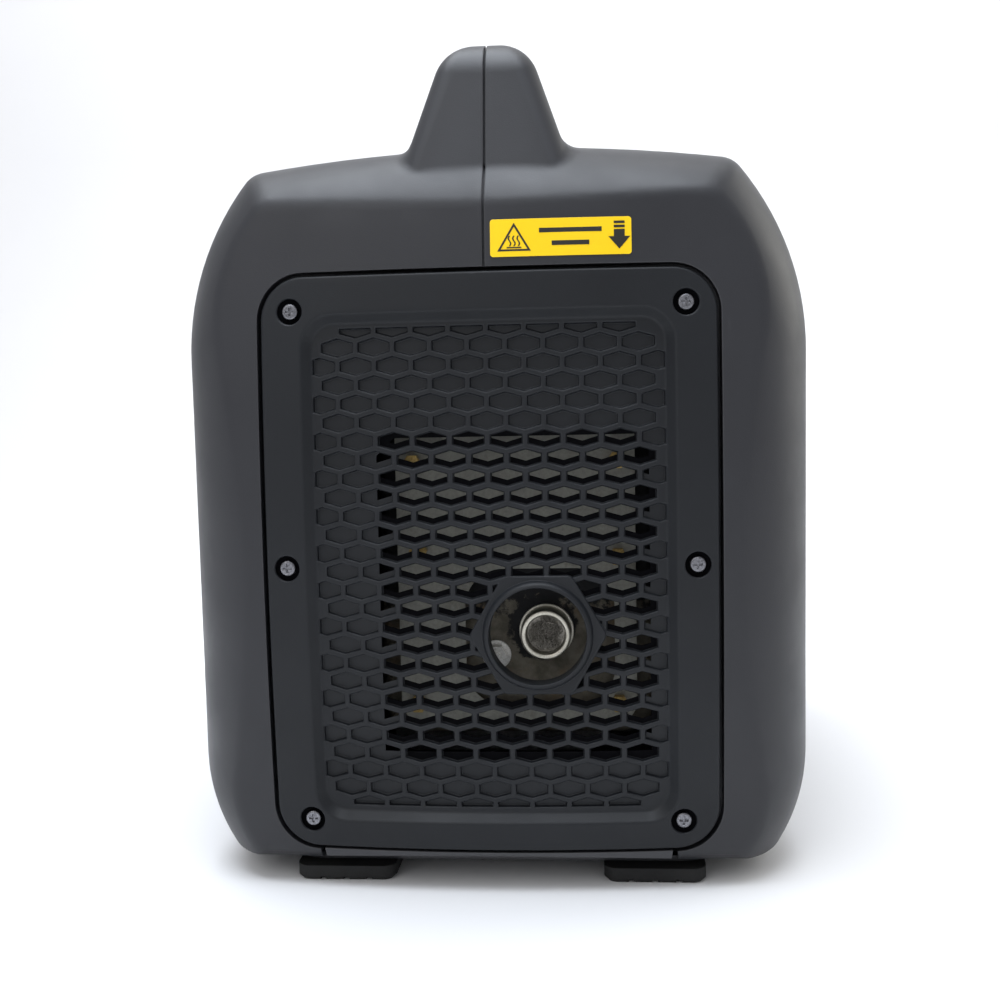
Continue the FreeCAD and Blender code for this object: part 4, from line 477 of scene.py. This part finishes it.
def clipped(corners, boundary):
    """The part of a convex outline that lies inside a convex, anticlockwise boundary."""
    result = list(corners)
    for i, a in enumerate(boundary):
        b = boundary[(i + 1) % len(boundary)]
        source, result = result, []
        for k, p in enumerate(source):
            q = source[(k + 1) % len(source)]
            side_p = (b[0] - a[0]) * (p[1] - a[1]) - (b[1] - a[1]) * (p[0] - a[0])
            side_q = (b[0] - a[0]) * (q[1] - a[1]) - (b[1] - a[1]) * (q[0] - a[0])
            if side_p >= 0:
                result.append(p)
            if (side_p >= 0) != (side_q >= 0):
                t = side_p / (side_p - side_q)
                result.append((p[0] + (q[0] - p[0]) * t, p[1] + (q[1] - p[1]) * t))
        if not result:
            return []
    tidy = [p for i, p in enumerate(result) if math.dist(p, result[i - 1]) > 0.25]
    return tidy if len(tidy) > 2 else []


def offset_outline(corners, amount):
    """A convex, anticlockwise outline moved outwards by amount."""
    moved = []
    for i, p in enumerate(corners):
        a, b = corners[i - 1], corners[(i + 1) % len(corners)]
        u = Vector((p[0] - a[0], p[1] - a[1])).normalized()
        v = Vector((b[0] - p[0], b[1] - p[1])).normalized()
        nu, nv = Vector((u.y, -u.x)), Vector((v.y, -v.x))
        mitre = (nu + nv).normalized()
        moved.append((p[0] + mitre.x * amount / max(mitre.dot(nu), 0.35),
                      p[1] + mitre.y * amount / max(mitre.dot(nu), 0.35)))
    return moved


def area_of(corners):
    return sum(a[0] * b[1] - b[0] * a[1] for a, b in zip(corners, corners[1:] + corners[:1])) / 2


def cell_outlines():
    """Every cell of the grille, cut to the field, anticlockwise."""
    rows = int((FIELD_HIGH - FIELD_LOW - 2.0) / PITCH_Z) + 1
    rows -= (rows + 1) % 2
    middle = BOW_MIDDLE - 2.2
    limit = FIELD_HALF - 0.9
    field = rounded_rectangle(limit, FIELD_LOW + 0.9, FIELD_HIGH - 0.9, FIELD_CORNER - 0.9, 1, 5)
    side, tip, w = CELL_SIDE / 2, CELL_HEIGHT / 2, CELL_WIDTH / 2
    cells = []
    for row in range(rows):
        z = middle + (rows // 2 - row) * PITCH_Z
        offset = PITCH_X / 2 if row % 2 == 0 else 0.0
        half = -1 if row == 0 else 1 if row == rows - 1 else 0
        for column in range(-7, 8):
            x = offset + column * PITCH_X
            near, far = abs(x) - w, abs(x) + w
            if not (far < limit or (near < limit - 5 and not half)):
                continue
            corners = [(x - w, z - side), (x, z - tip), (x + w, z - side), (x + w, z + side), (x, z + tip),
                       (x - w, z + side)]
            if half < 0:
                corners = [(x - w, z), (x - w, z - side), (x, z - tip), (x + w, z - side), (x + w, z)]
            if half > 0:
                corners = [(x - w, z), (x + w, z), (x + w, z + side), (x, z + tip), (x - w, z + side)]
            corners = clipped(corners, field)
            if corners and area_of(corners) > 12:
                cells.append(corners)
    return cells


def pocket_rings(corners, depth, start=12.0):
    """The space of one cell: straight above the surface, a rounded lip, then drafted walls."""
    rings = []
    first = math.radians(start)
    edge = offset_outline(corners, LIP * (1 - math.sin(first)))
    rings.append([(x, bow(x, z) + RECESS - 1.5, z) for x, z in edge])
    for k in range(4):
        a = first + (math.pi / 2 - first) * k / 3
        points = offset_outline(corners, LIP * (1 - math.sin(a)))
        rings.append([(x, bow(x, z) + RECESS + LIP * (1 - math.cos(a)), z) for x, z in points])
    points = offset_outline(corners, -0.12)
    rings.append([(x, bow(x, z) + RECESS + depth - 0.35, z) for x, z in points])
    points = offset_outline(corners, -0.45)
    rings.append([(x, bow(x, z) + RECESS + depth, z) for x, z in points])
    return rings


def raised_floor(corners):
    """The same cell with its lower edge lifted: what opens right through."""
    low = min(z for _, z in corners)
    moved = clipped([(x, z + V_BAND) for x, z in corners], corners)
    return offset_outline(moved, -0.5) if moved and low else []


def hexagon(across, rounding=4.0, arc=5):
    """Flat-topped hexagon round the exhaust with rounded corners, anticlockwise."""
    reach = across / 2 / math.cos(math.pi / 6)
    points = []
    for i in range(6):
        a = math.radians(60 * i)
        pull = rounding / math.cos(math.pi / 6)
        cx, cz = BOSS_X + (reach - pull) * math.cos(a), BOSS_Z + (reach - pull) * math.sin(a)
        for k in range(arc):
            b = a + math.radians(-30 + 60 * k / (arc - 1))
            points.append((cx + rounding * math.cos(b), cz + rounding * math.sin(b)))
    return points


def circle(x, z, radius, count=64):
    return [(x + radius * math.cos(2 * math.pi * k / count), z + radius * math.sin(2 * math.pi * k / count))
            for k in range(count)]


def cover_piece():
    looks = [COVER, PAINTED_SHADE]
    bm = bmesh.new()
    loft(bm, cover_rings(0.0, 0.0, COVER_BACK), cap_last=False)
    cover = solid_from("exhaust_grille_cover", bm, looks)
    bm = bmesh.new()
    loft(bm, cover_rings(COVER_WALL, COVER_WALL, COVER_BACK + 8), cap_last=False)
    boolean(cover, solid_from("hollow", bm, looks), "DIFFERENCE")
    bm = bmesh.new()
    cells = cell_outlines()
    for corners in cells:
        through = clipped(corners, WINDOW)
        opened = through and area_of(through) > 0.55 * area_of(corners)
        # Cells that open right through get the painted-shade material on their pocket floors.
        loft(bm, pocket_rings(corners, POCKET), 0, floor_material=1 if opened else None)
    boolean(cover, solid_from("pockets", bm, looks), "DIFFERENCE")
    bm = bmesh.new()
    for corners in cells:
        through = clipped(corners, WINDOW)
        if not through or area_of(through) < 6:
            continue
        hole = raised_floor(through)
        if len(hole) < 3 or area_of(hole) < 4:
            continue
        # The walls of the through holes carry the painted-shade material as well.
        loft(bm, [[(x, bow(x, z) + RECESS + 1.0, z) for x, z in hole],
                  [(x, bow(x, z) + RECESS + COVER_WALL + 3, z) for x, z in hole]], 1)
    boolean(cover, solid_from("holes", bm, looks), "DIFFERENCE")
    bm = bmesh.new()
    plate = bow(BOSS_X, BOSS_Z) + RECESS - 0.9
    rings = [[(x, BOSS_BACK, z) for x, z in hexagon(BOSS_FLATS)]]
    for k in range(5):
        a = math.pi / 2 * k / 4
        rings.append([(x, plate + 0.9 * (1 - math.sin(a)), z)
                      for x, z in hexagon(BOSS_FLATS - 1.8 * (1 - math.cos(a)))])
    loft(bm, rings)
    boolean(cover, solid_from("boss_plate", bm, looks), "UNION")
    bm = bmesh.new()
    profile = [(3.4, BOSS_BACK + 0.5), (3.4, plate + 0.6), (3.3, plate - 0.4), (3.0, plate - 1.4),
               (2.6, plate - 2.2),
               (2.1, plate - 2.9), (1.5, plate - 3.4), (0.8, BOSS_FRONT + 0.15), (0.2, BOSS_FRONT)]
    loft(bm, [[(x, y, z) for x, z in circle(BOSS_X, BOSS_Z, BOSS_HOLE + reach, 96)] for reach, y in profile])
    boolean(cover, solid_from("boss", bm, looks), "UNION")
    bm = bmesh.new()
    rings = [[(x, BOSS_FRONT - 3, z) for x, z in circle(BOSS_X, BOSS_Z, BOSS_HOLE + 0.62, 96)]]
    for k in range(5):
        a = math.radians(10) + math.radians(80) * k / 4
        rings.append([(x, BOSS_FRONT + 0.75 * (1 - math.cos(a)), z)
                      for x, z in circle(BOSS_X, BOSS_Z, BOSS_HOLE + 0.75 * (1 - math.sin(a)), 96)])
    rings.append([(x, BOSS_BACK + 5, z) for x, z in circle(BOSS_X, BOSS_Z, BOSS_HOLE, 96)])
    loft(bm, rings)
    boolean(cover, solid_from("boss_hole", bm, looks), "DIFFERENCE")
    posts, mouths, bores = bmesh.new(), bmesh.new(), bmesh.new()
    for x, z in SCREW_PLACES:
        top = bow(x, z)
        loft(posts, [[(a, top + 1.2, b) for a, b in circle(x, z, 7.2, 32)],
                     [(a, COVER_BACK + 0.5, b) for a, b in circle(x, z, 7.2, 32)]])
        rings = [[(a, top - 4, b) for a, b in circle(x, z, 6.35 + 0.7)]]
        for k in range(4):
            turn = math.radians(12) + math.radians(78) * k / 3
            rings.append([(a, bow(a, b) + 0.8 * (1 - math.cos(turn)), b)
                          for a, b in circle(x, z, 6.35 + 0.8 * (1 - math.sin(turn)))])
        rings.append([(a, bow(a, b) + 1.1, b) for a, b in circle(x, z, 6.35)])
        loft(mouths, rings)
        loft(bores, [[(a, top - 4, b) for a, b in circle(x, z, 6.32)],
                     [(a, top + 3.6, b) for a, b in circle(x, z, 6.32)]], 1)
    boolean(cover, solid_from("posts", posts, looks), "UNION")
    boolean(cover, solid_from("mouths", mouths, looks), "DIFFERENCE")
    boolean(cover, solid_from("bores", bores, looks), "DIFFERENCE")
    cover.data.shade_smooth()
    weld = cover.modifiers.new("weld", "WELD")
    weld.merge_threshold = 4e-6
    split = cover.modifiers.new("split", "EDGE_SPLIT")
    split.split_angle = math.radians(40)
    weighted = cover.modifiers.new("weighted", "WEIGHTED_NORMAL")
    weighted.keep_sharp = True
    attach(cover, "casing")
    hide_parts("exhaust_cover")
    return cover


cover_piece()


# ---------------------------------------------------------------- the pictogram on the yellow plate
PLATE_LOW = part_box("caution_plate")[0]


def plate_skin(bm, outline, holes=(), lift=0.00012):
    """A thin flat mark on the plate, from plate coordinates in millimetres."""
    thick = 0.00025
    loops = [outline] + list(holes)
    fills = []
    for loop in loops:
        verts = []
        for a, b in loop:
            x = PLATE_LOW.x + a / 1000
            z = PLATE_LOW.z + b / 1000
            verts.append(bm.verts.new((x, face_y(x, z) - 0.0004 - lift, z)))
        for i, v in enumerate(verts):
            fills.append(bm.edges.new((v, verts[(i + 1) % len(verts)])))
    made = bmesh.ops.triangle_fill(bm, use_beauty=True, use_dissolve=False, edges=fills)
    faces = [g for g in made["geom"] if isinstance(g, bmesh.types.BMFace)]
    pushed = bmesh.ops.extrude_face_region(bm, geom=faces)
    moved = [g for g in pushed["geom"] if isinstance(g, bmesh.types.BMVert)]
    bmesh.ops.translate(bm, verts=moved, vec=(0, thick, 0))


def grown(corners, amount):
    cx = sum(a for a, b in corners) / len(corners)
    cz = sum(b for a, b in corners) / len(corners)
    return [(cx + (a - cx) * amount, cz + (b - cz) * amount) for a, b in corners]


def label_marks():
    bm = bmesh.new()
    triangle = [(3.4, 2.6), (19.6, 2.6), (11.5, 16.2)]
    plate_skin(bm, triangle, [grown(triangle, 0.80)])
    for k in (-1, 0, 1):
        left, right = [], []
        for i in range(9):
            z = 5.0 + i * 0.62
            x = 11.5 + k * 2.1 + 0.55 * math.sin(i * math.pi / 4)
            left.append((x - 0.34, z))
            right.append((x + 0.34, z))
        plate_skin(bm, left + right[::-1])
    plate_skin(bm, [(8.0, 4.0), (15.0, 4.0), (15.0, 4.6), (8.0, 4.6)])
    for z, width in ((11.2, 30.0), (5.0, 18.0)):
        mid = 38.6
        plate_skin(bm, [(mid - width / 2, z), (mid + width / 2, z), (mid + width / 2, z + 2.2),
                        (mid - width / 2, z + 2.2)])
    plate_skin(bm, [(62.0, 2.6), (67.2, 8.6), (64.6, 8.6), (64.6, 12.0), (59.4, 12.0), (59.4, 8.6),
                    (56.8, 8.6)])
    for z in (12.8, 14.8):
        plate_skin(bm, [(59.4, z), (64.6, z), (64.6, z + 1.2), (59.4, z + 1.2)])
    return piece_from("plate_marks", bm, INK, "casing")


label_marks()


# ---------------------------------------------------------------- wire wool in the exhaust tip
def wire_wool():
    """Knitted wire: many small, tilted loops, filling the bore just behind its mouth."""
    rng = random.Random(7)
    bm = bmesh.new()
    limit = 0.0094
    for _ in range(150):
        radius = rng.uniform(0.0009, 0.0024)
        reach = limit - radius
        a, r = rng.uniform(0, 2 * math.pi), reach * math.sqrt(rng.random())
        centre = Vector((TIP_X + r * math.cos(a), TIP_FRONT + rng.uniform(0.0016, 0.0042),
                         TIP_Z + r * math.sin(a)))
        tilt, turn, oval = rng.uniform(-0.5, 0.5), rng.uniform(0, math.pi), rng.uniform(0.45, 1.0)
        points = []
        for k in range(12):
            t = 2 * math.pi * k / 12
            wobble = 1 + 0.2 * math.sin(3 * t + turn)
            x, z = radius * wobble * math.cos(t), radius * wobble * oval * math.sin(t)
            points.append(centre + Vector((x * math.cos(turn) - z * math.sin(turn),
                                           0.0004 * math.sin(2 * t + turn) + tilt * z,
                                           x * math.sin(turn) + z * math.cos(turn))))
        tube_along(bm, points, 0.00017, 5, closed=True)
    for y, radius in ((0.0062, 0.0096), (0.0066, 0.0096)):
        bmesh.ops.create_circle(bm, cap_ends=True, segments=40, radius=radius,
                                matrix=Matrix.Translation((TIP_X, TIP_FRONT + y, TIP_Z))
                                @ Matrix.Rotation(math.pi / 2, 4, "X"))
    return piece_from("arrestor_wool", bm, WOOL, "casing", ["spark_arrestor"])


wire_wool()

# ---------------------------------------------------------------- floor, light and camera


def make_stage():
    n = Nodes("pale_floor")
    slow = n.noise(1.5, 3.0)
    n.link(n.mix(n.remap(slow, 0.3, 0.7, 0.0, 1.0), (0.79, 0.79, 0.80), (0.82, 0.82, 0.825)),
           n.shader.inputs["Base Color"])
    n.shader.inputs["Roughness"].default_value = 0.7
    n.link(n.bump(n.noise(400.0, 2.0), 0.00005), n.shader.inputs["Normal"])
    mesh = bpy.data.meshes.new("floor")
    bm = bmesh.new()
    profile = [(-3.0, 0.0), (1.6, 0.0)]
    for i in range(1, 13):
        a = math.pi / 2 * i / 12
        profile.append((1.6 + 0.9 * math.sin(a), 0.9 - 0.9 * math.cos(a)))
    profile.append((2.5, 3.5))
    rows = [[bm.verts.new((x, y, z)) for x in (-4.0, 4.0)] for y, z in profile]
    for a, b in zip(rows, rows[1:]):
        bm.faces.new((a[0], a[1], b[1], b[0]))
    bm.to_mesh(mesh)
    bm.free()
    mesh.shade_smooth()
    floor = bpy.data.objects.new("floor", mesh)
    bpy.context.scene.collection.objects.link(floor)
    mesh.materials.append(n.material)


def area_light(name, place, aim, size, power, colour=(1, 1, 1)):
    light = bpy.data.lights.new(name, "AREA")
    light.shape = "RECTANGLE"
    light.size, light.size_y = size
    light.energy = power
    light.color = colour
    lamp = bpy.data.objects.new(name, light)
    bpy.context.scene.collection.objects.link(lamp)
    lamp.location = place
    lamp.rotation_euler = (Vector(aim) - Vector(place)).to_track_quat("-Z", "Y").to_euler()


def make_lights():
    world = bpy.data.worlds.new("studio")
    world.use_nodes = True
    world.node_tree.nodes["Background"].inputs[0].default_value = (0.96, 0.97, 1.0, 1)
    world.node_tree.nodes["Background"].inputs[1].default_value = 0.64
    bpy.context.scene.world = world
    area_light("top_light", (-0.18, -0.3, 1.9), (0, -0.05, 0.2), (1.6, 1.2), 41.0, (0.86, 0.92, 1.0))
    area_light("front_light", (-0.9, -1.8, 1.5), (0, 0, 0.2), (1.4, 1.4), 8.0, (1.0, 0.99, 0.97))
    area_light("rim_light", (1.7, 0.7, 0.9), (0.1, -0.1, 0.2), (1.0, 1.4), 11.0, (1.0, 0.98, 0.90))
    area_light("backdrop_light", (0, 1.0, 2.6), (0, 2.5, 1.0), (3.0, 0.8), 36.0)
    bpy.context.scene.view_settings.view_transform = "Standard"


# Degrees round to the right, up and rolled; metres; millimetres.
CAMERA_TURN, CAMERA_RISE, CAMERA_ROLL = 4.513, 5.1, -1.215
CAMERA_DISTANCE = 0.60
CAMERA_TARGET = (0.0058, -0.216, 0.1991)
CAMERA_LENS = 44.31


def make_camera():
    """The photograph's viewing angle: a little from the right and from above, and rolled by a degree."""
    turn, rise, roll = (math.radians(a) for a in (CAMERA_TURN, CAMERA_RISE, CAMERA_ROLL))
    target = Vector(CAMERA_TARGET)
    outward = Vector((math.sin(turn) * math.cos(rise), -math.cos(turn) * math.cos(rise), math.sin(rise)))
    right = Vector((math.cos(turn), math.sin(turn), 0))
    up = outward.cross(right)
    right, up = (right * math.cos(roll) + up * math.sin(roll), up * math.cos(roll) - right * math.sin(roll))
    data = bpy.data.cameras.new("camera")
    data.sensor_width = 36.0
    data.lens = CAMERA_LENS
    camera = bpy.data.objects.new("camera", data)
    bpy.context.scene.collection.objects.link(camera)
    matrix = Matrix((right, up, outward)).transposed().to_4x4()
    matrix.translation = target + outward * CAMERA_DISTANCE
    camera.matrix_world = matrix
    bpy.context.scene.camera = camera


make_stage()
make_lights()
make_camera()
